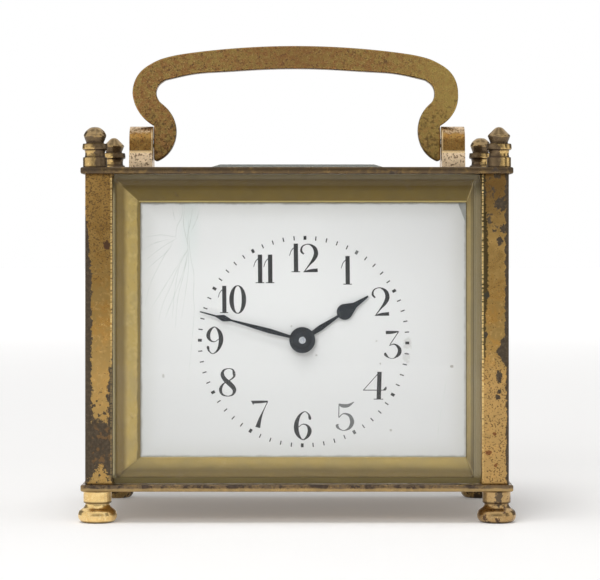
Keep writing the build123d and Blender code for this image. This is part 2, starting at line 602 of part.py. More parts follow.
mask_x, mask_z = (-COLUMN_IN[0] - 0.5, COLUMN_IN[0] + 0.5), (BASE_TOP + SEAT, TOP_UNDER - SEAT)
mask = block(mask_x, (MASK_FRONT, MASK_FRONT + MASK_SHEET), mask_z)
skin_front = face_at(MASK_FRONT + MASK_SHEET, (-brow_x, brow_x), brow_z, MASK_SHEET)
skin_back = face_at(LIP_BACK, open_x, open_z, MASK_LIP)
mask += loft([skin_front, skin_back])
mask -= loft([face_at(MASK_FRONT, (-brow_x, brow_x), brow_z), face_at(LIP_BACK - MASK_SHEET, open_x, open_z)])
mask -= block(open_x, (LIP_BACK - MASK_SHEET, LIP_BACK), open_z)
pieces["dial_mask"] = mask

dial_x = (open_x[0] - DIAL_MARGIN, open_x[1] + DIAL_MARGIN)
dial_z = (open_z[0] - DIAL_MARGIN, open_z[1] + DIAL_MARGIN)
chip = Polyline(
    (dial_x[1] - DIAL_CHIP[0], dial_z[1]),
    (dial_x[1], dial_z[1] - DIAL_CHIP[1]),
    (dial_x[1], dial_z[1]),
    close=True)
dial = block(dial_x, (LIP_BACK, DIAL_BACK), dial_z)
dial -= slab_y(make_face(chip), (LIP_BACK, DIAL_BACK))
dial -= rod_y(DIAL_HOLE, CENTRE[0], (LIP_BACK, DIAL_BACK), CENTRE[1])
pieces["dial"] = dial

# Places of the arbors, in X and Z
great_pitch = GREAT_TEETH * GREAT_MODULE / 2
great_reach = (GREAT_TEETH + CENTRE_LEAVES) * GREAT_MODULE / 2
centre_reach = (CENTRE_TEETH + THIRD_LEAVES) * CENTRE_MODULE / 2
third_reach = (THIRD_TEETH + CONTRATE_LEAVES) * THIRD_MODULE / 2
centre_tip = CENTRE_TEETH * CENTRE_MODULE / 2 + 0.8 * CENTRE_MODULE
barrel_off = polar(great_reach, BARREL_ANGLE)
BARREL = (CENTRE[0] + barrel_off[0], CENTRE[1] + barrel_off[1])
contrate_off = polar(centre_tip + ARBOR_RADIUS + ARBOR_GAP, CONTRATE_ANGLE)
CONTRATE = (CENTRE[0] + contrate_off[0], CENTRE[1] + contrate_off[1])
THIRD = circle_meet(CENTRE, centre_reach, CONTRATE, third_reach)
motion_reach = (CANNON_TEETH + MINUTE_TEETH) * CANNON_MODULE / 2
HOUR_MODULE = 2 * motion_reach / (MINUTE_LEAVES + HOUR_TEETH)
minute_off = polar(motion_reach, MINUTE_BEARING)
MINUTE = (CENTRE[0] + minute_off[0], CENTRE[1] + minute_off[1])
crown_out = CROWN_TEETH * CROWN_MODULE / 2 + CROWN_FACE / 2
PLATFORM_UNDER = CONTRATE[1] + crown_out + PLATFORM_GAP
PLATFORM_TOP = PLATFORM_UNDER + PLATFORM_SHEET

# Movement plates, pillars and their screws
pillar_z = (BASE_TOP + PILLAR_INSET, PLATFORM_UNDER - PILLAR_INSET)
pillars = [(x, z) for x in pillar_x for z in pillar_z]
frame_x = (CENTRE[0] - FRAME_WIDTH / 2, CENTRE[0] + FRAME_WIDTH / 2)
click_at = (BARREL[0] + RATCHET_RADIUS + 1.3, BARREL[1] + RATCHET_RADIUS + 2.1)
dial_feet = [
    (x - sx * DIAL_FOOT_INSET[0], z - sz * DIAL_FOOT_INSET[1])
    for x, sx in zip(pillar_x, (-1, 1))
    for z, sz in zip(pillar_z, (-1, 1))
]
pieces["dial_feet"] = Compound(
    children=[rod_y(DIAL_FOOT_RADIUS, x, (DIAL_BACK, FRONT_IN), z) for x, z in dial_feet])


def frame_plate(y):
    """A movement plate with its pillar holes and pivot holes."""
    plate = block(frame_x, y, (BASE_TOP, PLATFORM_UNDER))
    holes = [(SCREW_RADIUS + RUN, spot) for spot in pillars]
    holes.append((CENTRE_ARBOR_RADIUS + RUN, CENTRE))
    holes.append((BARREL_PIVOT + RUN, BARREL))
    holes.append((ARBOR_PIVOT + RUN, THIRD))
    holes.append((ARBOR_PIVOT + RUN, CONTRATE))
    for radius, (x, z) in holes:
        plate -= rod_y(radius, x, y, z)
    return plate


escape_at = (CONTRATE[0], FRONT_IN + CROWN_LEVEL - CROWN_TOOTH + 0.3 - ESCAPE_LEAVES * CROWN_MODULE / 2)
platform_x = (escape_at[0] - PLATFORM_LEFT, escape_at[0] + PLATFORM_RIGHT)
frame_screw_x = (platform_x[0] + 2.5, platform_x[1] - 2.5)
frame_screws = [
    (x, y) for x in frame_screw_x for y in (FRONT_FACE + FRAME_SHEET / 2, BACK_FACE - FRAME_SHEET / 2)
]
screw_length = PLATFORM_SHEET + 3.0
front_plate = frame_plate((FRONT_FACE, FRONT_IN))
for x, z in dial_feet:
    front_plate -= rod_y(DIAL_FOOT_RADIUS + FIT, x, (FRONT_FACE, FRONT_IN), z)
front_plate += rod_y(MINUTE_POST, MINUTE[0], (FRONT_FACE - MOTION_SPACE + 1.2, FRONT_FACE + 0.5), MINUTE[1])
back_plate = frame_plate((BACK_IN, BACK_FACE))
click_y = (BACK_FACE + LEVEL_GAP, BACK_FACE + LEVEL_GAP + RATCHET_SHEET)
back_plate += rod_y(CLICK_POST, click_at[0], (BACK_FACE - 0.5, click_y[1] + 0.4), click_at[1])
for x, y in frame_screws:
    hole = rod_z(PLATFORM_SCREW_RADIUS + FIT, x, y, (PLATFORM_UNDER - 3.3, PLATFORM_UNDER))
    front_plate -= hole
    back_plate -= hole
pieces["front_movement_plate"] = front_plate
pieces["back_movement_plate"] = back_plate

pillar_set, pillar_screws, base_screws = [], [], []
for x, z in pillars:
    pillar = rod_y(PILLAR_RADIUS, x, (FRONT_IN, BACK_IN), z)
    pillar -= rod_y(SCREW_RADIUS + FIT, x, (FRONT_IN, FRONT_IN + SCREW_GRIP + LEVEL_GAP), z)
    pillar -= rod_y(SCREW_RADIUS + FIT, x, (BACK_IN, BACK_IN - SCREW_GRIP - LEVEL_GAP), z)
    if z == pillar_z[0]:
        pillar -= rod_z(BASE_SCREW_RADIUS + FIT, x, frame_mid, (z - PILLAR_RADIUS, z + 1.0))
        shank = rod_z(BASE_SCREW_RADIUS, x, frame_mid, (FOOT_HEIGHT - 0.2, z + 0.7))
        base_screws.append(shank + rod_z(PILLAR_RADIUS, x, frame_mid, (FOOT_HEIGHT - SCREW_HEAD, FOOT_HEIGHT)))
    pillar_set.append(pillar)
    front_shank = rod_y(SCREW_RADIUS, x, (FRONT_FACE - 0.2, FRONT_IN + SCREW_GRIP), z)
    pillar_screws.append(front_shank + rod_y(PILLAR_RADIUS, x, (FRONT_FACE - SCREW_HEAD, FRONT_FACE), z))
    back_shank = rod_y(SCREW_RADIUS, x, (BACK_FACE + 0.2, BACK_IN - SCREW_GRIP), z)
    pillar_screws.append(back_shank + rod_y(PILLAR_RADIUS, x, (BACK_FACE, BACK_FACE + SCREW_HEAD), z))
pieces["plate_pillars"] = Compound(children=pillar_set)
pieces["pillar_screws"] = Compound(children=pillar_screws)
pieces["base_screws"] = Compound(children=base_screws)


def bearing(centre, other):
    """Direction from one arbor to another, anticlockwise from the right."""
    return math.degrees(math.atan2(other[1] - centre[1], other[0] - centre[0]))


def facing(wheel, pinion, leaves):
    """Turn that sets a pinion's gap opposite a wheel tooth on the line of centres."""
    return bearing(pinion, wheel) + 180.0 / leaves


# Barrel, mainspring, barrel arbor, ratchet and click
great_y = (FRONT_IN + GREAT_LEVEL, FRONT_IN + GREAT_LEVEL + GREAT_SHEET)
drum_y = (great_y[1], great_y[1] + DRUM_LENGTH)
drum_out = great_pitch - DRUM_STEP
great = wheel_outline(GREAT_TEETH, GREAT_MODULE, bearing(BARREL, CENTRE)) - Circle(BARREL_ARBOR_RADIUS + RUN)
barrel = slab_y(great, great_y, BARREL)
barrel += slab_y(Circle(drum_out) - Circle(drum_out - DRUM_WALL), drum_y, BARREL)
pieces["barrel"] = barrel
cap = Circle(drum_out - DRUM_WALL - FIT) - Circle(BARREL_ARBOR_RADIUS + RUN)
pieces["barrel_cap"] = slab_y(cap, (drum_y[1] - CAP_SHEET, drum_y[1]), BARREL)
spring_end = drum_out - DRUM_WALL - SPRING_STRIP / 2 - SPRING_PITCH / 2 - LEVEL_GAP
spring_face, spring_gap = spiral(
    spring_end - SPRING_PITCH * (SPRING_TURNS - 0.5), SPRING_PITCH, SPRING_TURNS, SPRING_STRIP)
spring_y = (drum_y[0] + LEVEL_GAP, drum_y[1] - CAP_SHEET - LEVEL_GAP)
pieces["mainspring"] = slab_y(spring_face, spring_y, BARREL)
print("mainspring least gap to itself:", round(spring_gap, 3), "mm")

arbor = rod_y(BARREL_ARBOR_RADIUS, BARREL[0], (FRONT_IN + LEVEL_GAP, BACK_IN - LEVEL_GAP), BARREL[1])
arbor += rod_y(BARREL_HUB, BARREL[0], spring_y, BARREL[1])
arbor += rod_y(BARREL_PIVOT, BARREL[0], (FRONT_FACE, BACK_FACE + LEVEL_GAP / 2), BARREL[1])
square = Rectangle(WINDING_SQUARE, WINDING_SQUARE)
arbor += slab_y(square, (BACK_FACE, BACK_FACE + WINDING_LENGTH), BARREL)
pieces["barrel_arbor"] = arbor
ratchet_pitch = 360.0 / RATCHET_TEETH
ratchet_points = []
for i in range(RATCHET_TEETH):
    ratchet_points.append(polar(RATCHET_RADIUS, i * ratchet_pitch))
    ratchet_points.append(polar(RATCHET_ROOT, i * ratchet_pitch + 1.0))
bore = Rectangle(WINDING_SQUARE + 2 * FIT, WINDING_SQUARE + 2 * FIT)
ratchet = make_face(Polyline(*ratchet_points, close=True)) - bore
pieces["ratchet_wheel"] = slab_y(ratchet, click_y, BARREL)
click_local = (click_at[0] - BARREL[0], click_at[1] - BARREL[1])
click_points = [
    polar(RATCHET_ROOT + 0.28, 3.2),
    polar(RATCHET_RADIUS + 0.5, 2.0),
    (RATCHET_RADIUS + 1.9, 0.4),
    (click_local[0] + 1.1, click_local[1]),
    (click_local[0] - 0.7, click_local[1]),
    (RATCHET_RADIUS + 0.75, 2.0),
    polar(RATCHET_RADIUS + 0.4, 9.0),
]
click = make_face(Polyline(*click_points, close=True)) + Pos(*click_local) * Circle(CLICK_HEAD)
click -= Pos(*click_local) * Circle(CLICK_POST + RUN)
pieces["click"] = slab_y(click, click_y, BARREL)
strip_x = RATCHET_RADIUS + 1.9 + SEAT
spring_points = [
    (strip_x, 0.4),
    (strip_x + CLICK_STRIP, 0.4),
    (strip_x + 2 * CLICK_STRIP, -6.0),
    (strip_x + 0.5 * CLICK_STRIP, -6.0),
]
click_spring = make_face(Polyline(*spring_points, close=True))
click_spring += Pos(strip_x + CLICK_STRIP, -6.5) * Circle(CLICK_HEAD)
spring_solid = slab_y(click_spring, click_y, BARREL)
spring_post = (BACK_FACE, click_y[0] + 0.2)
spring_solid += rod_y(CLICK_POST, BARREL[0] + strip_x + CLICK_STRIP, spring_post, BARREL[1] - 6.5)
pieces["click_spring"] = spring_solid

# Centre arbor through both plates; the centre wheel and its pinion slip on it
centre_y = (drum_y[1] + CENTRE_LEVEL, drum_y[1] + CENTRE_LEVEL + WHEEL_SHEET)
hour_front = LIP_BACK - HAND_STEP - HAND_THICKNESS
minute_front = hour_front - HAND_STEP - HAND_THICKNESS
boss_front = minute_front - 2 * HAND_THICKNESS
centre_bore = Circle(CENTRE_ARBOR_RADIUS + RUN)
pipe_radius = CENTRE_LEAVES * GREAT_MODULE / 2 - 1.05 * GREAT_MODULE
centre_root = CENTRE_TEETH * CENTRE_MODULE / 2 - 1.15 * CENTRE_MODULE
centre_teeth = wheel_outline(CENTRE_TEETH, CENTRE_MODULE, bearing(CENTRE, THIRD))
centre = crossed_out(centre_teeth, centre_root - WHEEL_RIM, 2.8, 1.3) - Circle(pipe_radius + FIT)
pieces["centre_wheel"] = slab_y(centre, centre_y, CENTRE)
leaves = pinion_outline(CENTRE_LEAVES, GREAT_MODULE, facing(BARREL, CENTRE, CENTRE_LEAVES)) - centre_bore
pinion_y = (great_y[0] - 0.6, great_y[0] - 0.6 + PINION_FACE)
centre_pipe = slab_y(leaves, pinion_y, CENTRE)
centre_pipe += slab_y(Circle(pipe_radius) - centre_bore, (pinion_y[0], BACK_IN - LEVEL_GAP), CENTRE)
pieces["centre_pinion"] = centre_pipe
centre_arbor = rod_y(CENTRE_ARBOR_RADIUS, CENTRE[0], (minute_front, BACK_FACE + 1.0), CENTRE[1])
centre_arbor += rod_y(ARBOR_TIP, CENTRE[0], (boss_front - 0.5, minute_front + 0.5), CENTRE[1])
setting = Rectangle(SETTING_SQUARE, SETTING_SQUARE)
centre_arbor += slab_y(setting, (BACK_FACE + 0.5, BACK_FACE + SETTING_LENGTH), CENTRE)
pieces["centre_arbor"] = centre_arbor


def plain_arbor(place, pinion, pinion_y):
    """An arbor with pivots in both movement plates and a pinion cut on it."""
    shape = rod_y(ARBOR_RADIUS, place[0], (FRONT_IN + LEVEL_GAP, BACK_IN - LEVEL_GAP), place[1])
    shape += rod_y(ARBOR_PIVOT, place[0], (FRONT_FACE, BACK_FACE), place[1])
    return shape + slab_y(pinion, pinion_y, place)


# Third wheel and contrate wheel
third_leaf_y = (centre_y[0] - 0.8, centre_y[0] - 0.8 + PINION_FACE)
third_leaves = pinion_outline(THIRD_LEAVES, CENTRE_MODULE, facing(CENTRE, THIRD, THIRD_LEAVES))
pieces["third_arbor"] = plain_arbor(THIRD, third_leaves, third_leaf_y)
third_y = (FRONT_IN + THIRD_LEVEL, FRONT_IN + THIRD_LEVEL + WHEEL_SHEET)
third_root = THIRD_TEETH * THIRD_MODULE / 2 - 1.15 * THIRD_MODULE
third_teeth = wheel_outline(THIRD_TEETH, THIRD_MODULE, bearing(THIRD, CONTRATE))
third = crossed_out(third_teeth, third_root - WHEEL_RIM, 1.9, 1.1) - Circle(ARBOR_RADIUS + FIT)
pieces["third_wheel"] = slab_y(third, third_y, THIRD)
contrate_leaf_y = (third_y[0] - 0.8, third_y[0] - 0.8 + PINION_FACE)
contrate_leaves = pinion_outline(CONTRATE_LEAVES, THIRD_MODULE, facing(THIRD, CONTRATE, CONTRATE_LEAVES))
pieces["contrate_arbor"] = plain_arbor(CONTRATE, contrate_leaves, contrate_leaf_y)
crown_y = (FRONT_IN + CROWN_LEVEL, FRONT_IN + CROWN_LEVEL + WHEEL_SHEET)
crown_in = crown_out - CROWN_FACE
crown_web = crossed_out(Circle(crown_out), crown_in - 0.4, 1.9, 1.1) - Circle(ARBOR_RADIUS + FIT)
crown = slab_y(crown_web, crown_y)
crown_pitch = math.pi * CROWN_MODULE
crown_profile = Polyline(
    (-0.27 * crown_pitch, -0.1),
    (-0.09 * crown_pitch, CROWN_TOOTH),
    (0.09 * crown_pitch, CROWN_TOOTH),
    (0.27 * crown_pitch, -0.1),
    close=True)
crown_tooth = Pos(0, crown_y[0], crown_in) * Rot(0, 0, 180) * extrude(make_face(crown_profile), CROWN_FACE)
turns = [(i + 0.5) * 360.0 / CROWN_TEETH for i in range(CROWN_TEETH)]
crown = crown.fuse(*[Rot(0, turn, 0) * crown_tooth for turn in turns])
pieces["contrate_wheel"] = Pos(CONTRATE[0], 0, CONTRATE[1]) * crown

# Motion work behind the dial, and the hands
cannon_y = (FRONT_FACE - 1.9, FRONT_FACE - LEVEL_GAP)
minute_y = (cannon_y[0] + 0.4, cannon_y[1] - 0.2)
hour_y = (minute_y[0] - 1.6, minute_y[0] - 0.7)
cannon = pinion_outline(CANNON_TEETH, CANNON_MODULE, facing(MINUTE, CENTRE, CANNON_TEETH))
arbor_fit = Circle(CENTRE_ARBOR_RADIUS + FIT)
cannon_pinion = slab_y(cannon - arbor_fit, cannon_y, CENTRE)
cannon_pinion += slab_y(Circle(CANNON_PIPE) - arbor_fit, (minute_front + HAND_THICKNESS, cannon_y[1]), CENTRE)
cannon_pinion += slab_y(Circle(CANNON_SEAT) - arbor_fit, (minute_front, cannon_y[1]), CENTRE)
pieces["cannon_pinion"] = cannon_pinion
minute_bore = Circle(MINUTE_POST + RUN)
minute_teeth = wheel_outline(MINUTE_TEETH, CANNON_MODULE, bearing(MINUTE, CENTRE))
minute_wheel = slab_y(minute_teeth - minute_bore, minute_y, MINUTE)
minute_leaves = pinion_outline(MINUTE_LEAVES, HOUR_MODULE, bearing(MINUTE, CENTRE) + 180.0 / MINUTE_LEAVES)
minute_wheel += slab_y(minute_leaves - minute_bore, (hour_y[0] - 0.3, minute_y[0]), MINUTE)
pieces["minute_wheel"] = minute_wheel
hour_bore = Circle(CANNON_PIPE + RUN)
hour_teeth = wheel_outline(HOUR_TEETH, HOUR_MODULE, bearing(CENTRE, MINUTE))
hour_wheel = slab_y(hour_teeth - hour_bore, hour_y, CENTRE)
hour_wheel += slab_y(Circle(HOUR_PIPE) - hour_bore, (hour_front, hour_y[1]), CENTRE)
pieces["hour_wheel"] = hour_wheel



def blade(length, shares):
    """A hand's outline along Y, mirrored about it, from shares of its length: half width, place."""
    right = [(length * half_width, length * place) for half_width, place in shares]
    left = [(-x, y) for x, y in reversed(right)]
    return make_face(Polyline(*right, *left, close=True))


hour_stem = blade(HOUR_LENGTH, [(0.026, 0.132), (0.036, 0.276), (0.015, 0.552)])
hour_tip = blade(HOUR_LENGTH, [(0.093, 0.684), (0.036, 0.799), (0.0115, 1.0)])
hour_disc = Pos(0, 0.644 * HOUR_LENGTH) * Circle(0.101 * HOUR_LENGTH)
hour_hand = Circle(HAND_BOSS) + hour_stem + hour_tip + hour_disc
hour_hand -= Circle(HOUR_PIPE + FIT)
hour_turned = Rot(0, 0, -HOUR_ANGLE) * hour_hand
pieces["hour_hand"] = slab_y(hour_turned, (hour_front, hour_front + HAND_THICKNESS), CENTRE)
minute_hand = Circle(HAND_BOSS) + blade(MINUTE_LENGTH, [
    (0.013, 0.098), (0.0235, 0.32), (0.0085, 0.692), (0.032, 0.769), (0.0085, 0.842), (0.006, 1.0),
])
minute_turned = Rot(0, 0, -MINUTE_ANGLE) * (minute_hand - Circle(CANNON_SEAT + FIT))
minute_solid = slab_y(minute_turned, (minute_front, minute_front + HAND_THICKNESS), CENTRE)
minute_solid += slab_y(Circle(HAND_BOSS) - Circle(ARBOR_TIP + FIT), (boss_front, minute_front), CENTRE)
pieces["minute_hand"] = minute_solid

# Platform with the potence that carries the escape pinion's lower pivot
lever_at = (escape_at[0] - LEVER_DISTANCE, escape_at[1])
balance_at = (lever_at[0] - FORK_LENGTH, escape_at[1])
pinion_z = (CONTRATE[1] + crown_in - 0.2, CONTRATE[1] + crown_out + 0.2)
potence_z = (pinion_z[0] - 1.6, pinion_z[0] - LEVEL_GAP)
potence_y = escape_at[1] - 1.9
platform = block(platform_x, (FRONT_FACE, BACK_FACE), (PLATFORM_UNDER, PLATFORM_TOP))
arm_x = (escape_at[0] - 1.6, escape_at[0] + 1.6)
platform += block(arm_x, (potence_y - 1.6, potence_y), (potence_z[0], PLATFORM_UNDER + 0.5))
platform += block(arm_x, (potence_y - 1.6, escape_at[1] + 0.45), potence_z)
platform -= rod_z(STAFF_PIVOT + RUN, *escape_at, potence_z)
platform -= rod_z(ARBOR_RADIUS + RUN, *escape_at, (PLATFORM_UNDER, PLATFORM_TOP))
for spot in (lever_at, balance_at):
    platform -= rod_z(STAFF_PIVOT + RUN, *spot, (PLATFORM_UNDER, PLATFORM_TOP))
cock_x = (platform_x[0] + 5.5, balance_at[0] - BALANCE_RADIUS - 1.6)
bridge_x = (escape_at[0] + ESCAPE_RADIUS + 0.8, platform_x[1] - 0.6)
cock_screw = ((cock_x[0] + cock_x[1]) / 2, escape_at[1])
bridge_screw = ((bridge_x[0] + bridge_x[1]) / 2, escape_at[1])
for spot in frame_screws + [cock_screw, bridge_screw]:
    platform -= rod_z(PLATFORM_SCREW_RADIUS + FIT, *spot, (PLATFORM_UNDER, PLATFORM_TOP))
pieces["platform"] = platform

# Balance cock and the bridge over the escape wheel and lever
cock_z = (PLATFORM_TOP + COCK_LEVEL, PLATFORM_TOP + COCK_LEVEL + COCK_SHEET)
hair_z = (PLATFORM_TOP + HAIR_LEVEL, PLATFORM_TOP + HAIR_LEVEL + HAIR_HEIGHT)
hair_start = COLLET_RADIUS + RUN + HAIR_STRIP / 2 + HAIR_PITCH / 4
hair_end = hair_start + HAIR_PITCH * (HAIR_TURNS - 0.5) + HAIR_PITCH / 4
stud_x = balance_at[0] - hair_end - HAIR_STRIP / 2 - SEAT - HAIR_STUD
bridge_z = (PLATFORM_TOP + BRIDGE_LEVEL, PLATFORM_TOP + BRIDGE_LEVEL + BRIDGE_SHEET)
half = COCK_WIDTH / 2
across = (escape_at[1] - half, escape_at[1] + half)
cock = block(cock_x, across, (PLATFORM_TOP, cock_z[1]))
cock += block((cock_x[0], balance_at[0]), (escape_at[1] - 1.5, escape_at[1] + 1.5), cock_z)
cock += rod_z(1.9, *balance_at, cock_z)
cock += rod_z(HAIR_STUD, stud_x, balance_at[1], (hair_z[0], cock_z[0] + 0.2))
cock -= rod_z(STAFF_PIVOT + RUN, *balance_at, cock_z)
cock -= rod_z(PLATFORM_SCREW_RADIUS + FIT, *cock_screw, (PLATFORM_TOP, cock_z[1]))
bridge = block(bridge_x, across, (PLATFORM_TOP, bridge_z[1]))
bridge += block((lever_at[0], bridge_x[1]), (escape_at[1] - 1.2, escape_at[1] + 1.2), bridge_z)
bridge += rod_z(1.2, *lever_at, bridge_z)
for spot in (lever_at, escape_at):
    bridge -= rod_z(STAFF_PIVOT + RUN, *spot, bridge_z)
bridge -= rod_z(PLATFORM_SCREW_RADIUS + FIT, *bridge_screw, (PLATFORM_TOP, bridge_z[1]))
pieces["platform_cocks"] = Compound(children=[cock, bridge])
screw_seats = [(spot, PLATFORM_TOP) for spot in frame_screws]
screw_seats += [(cock_screw, cock_z[1]), (bridge_screw, bridge_z[1])]
platform_screws = []
for spot, seat in screw_seats:
    low = PLATFORM_UNDER - 3.0 if spot in frame_screws else PLATFORM_UNDER
    shank = rod_z(PLATFORM_SCREW_RADIUS, *spot, (low, seat + 0.2))
    platform_screws.append(shank + rod_z(PLATFORM_SCREW_HEAD, *spot, (seat, seat + 0.7)))
pieces["platform_screws"] = Compound(children=platform_screws)

# Escape wheel and pinion, lever, balance and hairspring
escape_z = (PLATFORM_TOP + ESCAPE_LEVEL, PLATFORM_TOP + ESCAPE_LEVEL + ESCAPE_SHEET)
escape_pitch = 360.0 / ESCAPE_TEETH
escape_points = []
for i in range(ESCAPE_TEETH):
    tip = (i + 0.5) * escape_pitch
    escape_points.append(polar(ESCAPE_RADIUS, tip - 1.5))
    escape_points.append(polar(ESCAPE_RADIUS, tip + 1.5))
    escape_points.append(polar(ESCAPE_ROOT, tip + 6.0))
    escape_points.append(polar(ESCAPE_ROOT, tip + 0.55 * escape_pitch))
escape_face = crossed_out(make_face(Polyline(*escape_points, close=True)), ESCAPE_ROOT - 0.5, 0.9, 0.5)
escape = slab_z(escape_face, escape_z, escape_at)
escape_leaves = pinion_outline(ESCAPE_LEAVES, CROWN_MODULE, 90.0)
escape += slab_z(escape_leaves, pinion_z, escape_at)
escape += rod_z(ARBOR_RADIUS, *escape_at, (pinion_z[1] - 0.1, bridge_z[0] - LEVEL_GAP))
escape += rod_z(STAFF_PIVOT, *escape_at, (potence_z[0] + 0.2, bridge_z[1]))
pieces["escape_wheel"] = escape

pallet_x, pallet_y = polar(ESCAPE_RADIUS + PALLET_GAP + 0.25, 30.0)
lever = Circle(LEVER_HUB) + Pos(-FORK_LENGTH / 2 + 0.75, 0) * Rectangle(FORK_LENGTH - 1.5, 0.5)
for side in (-1, 1):
    arm_end = (LEVER_DISTANCE - pallet_x, side * pallet_y)
    lever += make_face(Polyline(
        (-0.35, 0.0), (0.35, 0.0), (arm_end[0] + 0.25, arm_end[1]), (arm_end[0] - 0.25, arm_end[1]), close=True))
    lever += Pos(*arm_end) * Rot(0, 0, -side * 30.0) * Rectangle(0.5, 0.8)
    lever += Pos(-FORK_LENGTH + 1.55, side * 0.45) * Rectangle(0.7, 0.35)
    lever += Pos(-FORK_LENGTH + 2.0, side * 0.3) * Rectangle(0.4, 0.65)
lever_solid = slab_z(lever, escape_z, lever_at)
lever_solid += rod_z(0.4, *lever_at, (PLATFORM_TOP + LEVEL_GAP, bridge_z[0] - LEVEL_GAP))
lever_solid += rod_z(STAFF_PIVOT, *lever_at, (PLATFORM_UNDER + 0.4, bridge_z[1]))
pieces["lever"] = lever_solid

balance_z = (PLATFORM_TOP + BALANCE_LEVEL, PLATFORM_TOP + BALANCE_LEVEL + BALANCE_HEIGHT)
rim = crossed_out(Circle(BALANCE_RADIUS), BALANCE_RADIUS - BALANCE_RIM, 1.3, 0.9, arms=2)
balance = slab_z(rim, balance_z)
mid_rim = (balance_z[0] + balance_z[1]) / 2
for i in range(BALANCE_SCREWS):
    turn = (i + 0.5) * 360.0 / BALANCE_SCREWS
    balance += Rot(0, 0, turn) * rod_x(0.4, (BALANCE_RADIUS - 0.4, BALANCE_RADIUS + 0.6), 0, mid_rim)
balance += rod_z(STAFF_RADIUS, 0, 0, (PLATFORM_TOP + LEVEL_GAP, cock_z[0] - LEVEL_GAP))
balance += rod_z(STAFF_PIVOT, 0, 0, (PLATFORM_UNDER + 0.4, cock_z[1] - 0.2))
balance += rod_z(COLLET_RADIUS, 0, 0, hair_z)
roller_z = (escape_z[1] + LEVEL_GAP, escape_z[1] + LEVEL_GAP + 0.5)
balance += rod_z(1.2, 0, 0, roller_z)
pieces["balance"] = Pos(*balance_at, 0) * balance
hair_face, hair_gap = spiral(hair_start, HAIR_PITCH, HAIR_TURNS, HAIR_STRIP)
hairspring = slab_z(hair_face, hair_z, balance_at)
print("hairspring least gap to itself:", round(hair_gap, 3), "mm")
pieces["hairspring"] = hairspring

os.makedirs("parts", exist_ok=True)
for name, shape in pieces.items():
    export_step(shape, os.path.join("parts", name + ".step"))
print(len(pieces), "pieces written")
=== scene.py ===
# %% [markdown]
# # A small carriage clock, dressed for the camera
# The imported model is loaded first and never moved. It is the frame: every new piece is worked out
# in the same axes, X to the right, Y away from the camera and Z up, and then rides on a body.

# %% Load the frame
import json
import math

import bmesh
import bpy
import numpy as np
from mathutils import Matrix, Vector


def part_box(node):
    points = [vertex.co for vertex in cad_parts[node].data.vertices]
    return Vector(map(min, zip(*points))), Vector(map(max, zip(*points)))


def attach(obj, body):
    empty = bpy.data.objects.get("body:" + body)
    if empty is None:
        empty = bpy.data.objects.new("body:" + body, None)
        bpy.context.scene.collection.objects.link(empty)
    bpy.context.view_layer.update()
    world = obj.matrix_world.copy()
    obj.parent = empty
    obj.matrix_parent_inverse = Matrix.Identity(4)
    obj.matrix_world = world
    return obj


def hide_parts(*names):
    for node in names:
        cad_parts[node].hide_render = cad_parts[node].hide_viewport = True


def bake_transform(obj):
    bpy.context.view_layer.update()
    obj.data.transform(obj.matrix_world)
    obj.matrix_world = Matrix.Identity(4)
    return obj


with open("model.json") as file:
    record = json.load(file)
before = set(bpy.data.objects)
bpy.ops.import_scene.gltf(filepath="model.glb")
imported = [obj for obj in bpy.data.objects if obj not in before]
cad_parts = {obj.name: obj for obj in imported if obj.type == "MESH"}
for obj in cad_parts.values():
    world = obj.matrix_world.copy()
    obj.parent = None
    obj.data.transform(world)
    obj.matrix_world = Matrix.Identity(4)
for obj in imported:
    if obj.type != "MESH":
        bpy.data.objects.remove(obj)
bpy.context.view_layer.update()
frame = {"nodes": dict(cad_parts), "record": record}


# %% [markdown]
# ## Tools of the bench
# A surface here is a grid of points: rows along one parameter and columns along the other. The
# points come from one numpy formula, the faces from the grid's own numbering, and Blender only
# gets the finished arrays. Sizes are written in millimetres and become metres in one place.

# %% Grids to meshes
def span(node):
    """A CAD node's lowest and highest corner at rest, in millimetres."""
    return [np.array(corner) * 1000.0 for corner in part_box(node)]


def grid_faces(rows, cols, ring=False, closed=False):
    """Quads of a grid numbered row by row: a quad joins point (i, j) to its neighbours in row i + 1
    and column j + 1. `ring` joins the last column to the first, `closed` the last row to the
    first."""
    i = np.arange(rows if closed else rows - 1)[:, None]
    j = np.arange(cols if ring else cols - 1)[None, :]
    down, right = (i + 1) % rows, (j + 1) % cols
    quads = [i * cols + j, i * cols + right, down * cols + right, down * cols + j]
    return np.stack(np.broadcast_arrays(*quads), -1).reshape(-1, 4).tolist()


def at_height(line, z):
    """The flat points (x, y) of a line, all at the height z."""
    return np.column_stack([line, np.full(len(line), z)])


def at_depth(line, y):
    """The upright points (x, z) of a line, all at the depth y."""
    return np.column_stack([line[:, 0], np.full(len(line), y), line[:, 1]])


def joined(*shapes):
    """Several (points, faces) shapes as one: the numbers of each move up by the points before it."""
    starts = np.cumsum([0] + [len(points) for points, _ in shapes])
    faces = [[int(n + start) for n in face]
             for (_, part), start in zip(shapes, starts) for face in part]
    return np.vstack([points for points, _ in shapes]), faces


def make(name, shape, angle=35.0, outward=True):
    """A (points, faces) shape in millimetres becomes an object in metres. Doubled points are merged,
    faces turn outwards, and an edge sharper than `angle` degrees stays crisp."""
    mesh = bpy.data.meshes.new(name)
    mesh.from_pydata((np.asarray(shape[0]) * 0.001).tolist(), [], shape[1])
    if outward:
        shell = bmesh.new()
        shell.from_mesh(mesh)
        bmesh.ops.remove_doubles(shell, verts=shell.verts, dist=2e-7)
        bmesh.ops.recalc_face_normals(shell, faces=shell.faces)
        shell.to_mesh(mesh)
        shell.free()
    mesh.shade_smooth()
    mesh.set_sharp_from_angle(angle=math.radians(angle))
    piece = bpy.data.objects.new(name, mesh)
    bpy.context.scene.collection.objects.link(piece)
    return piece


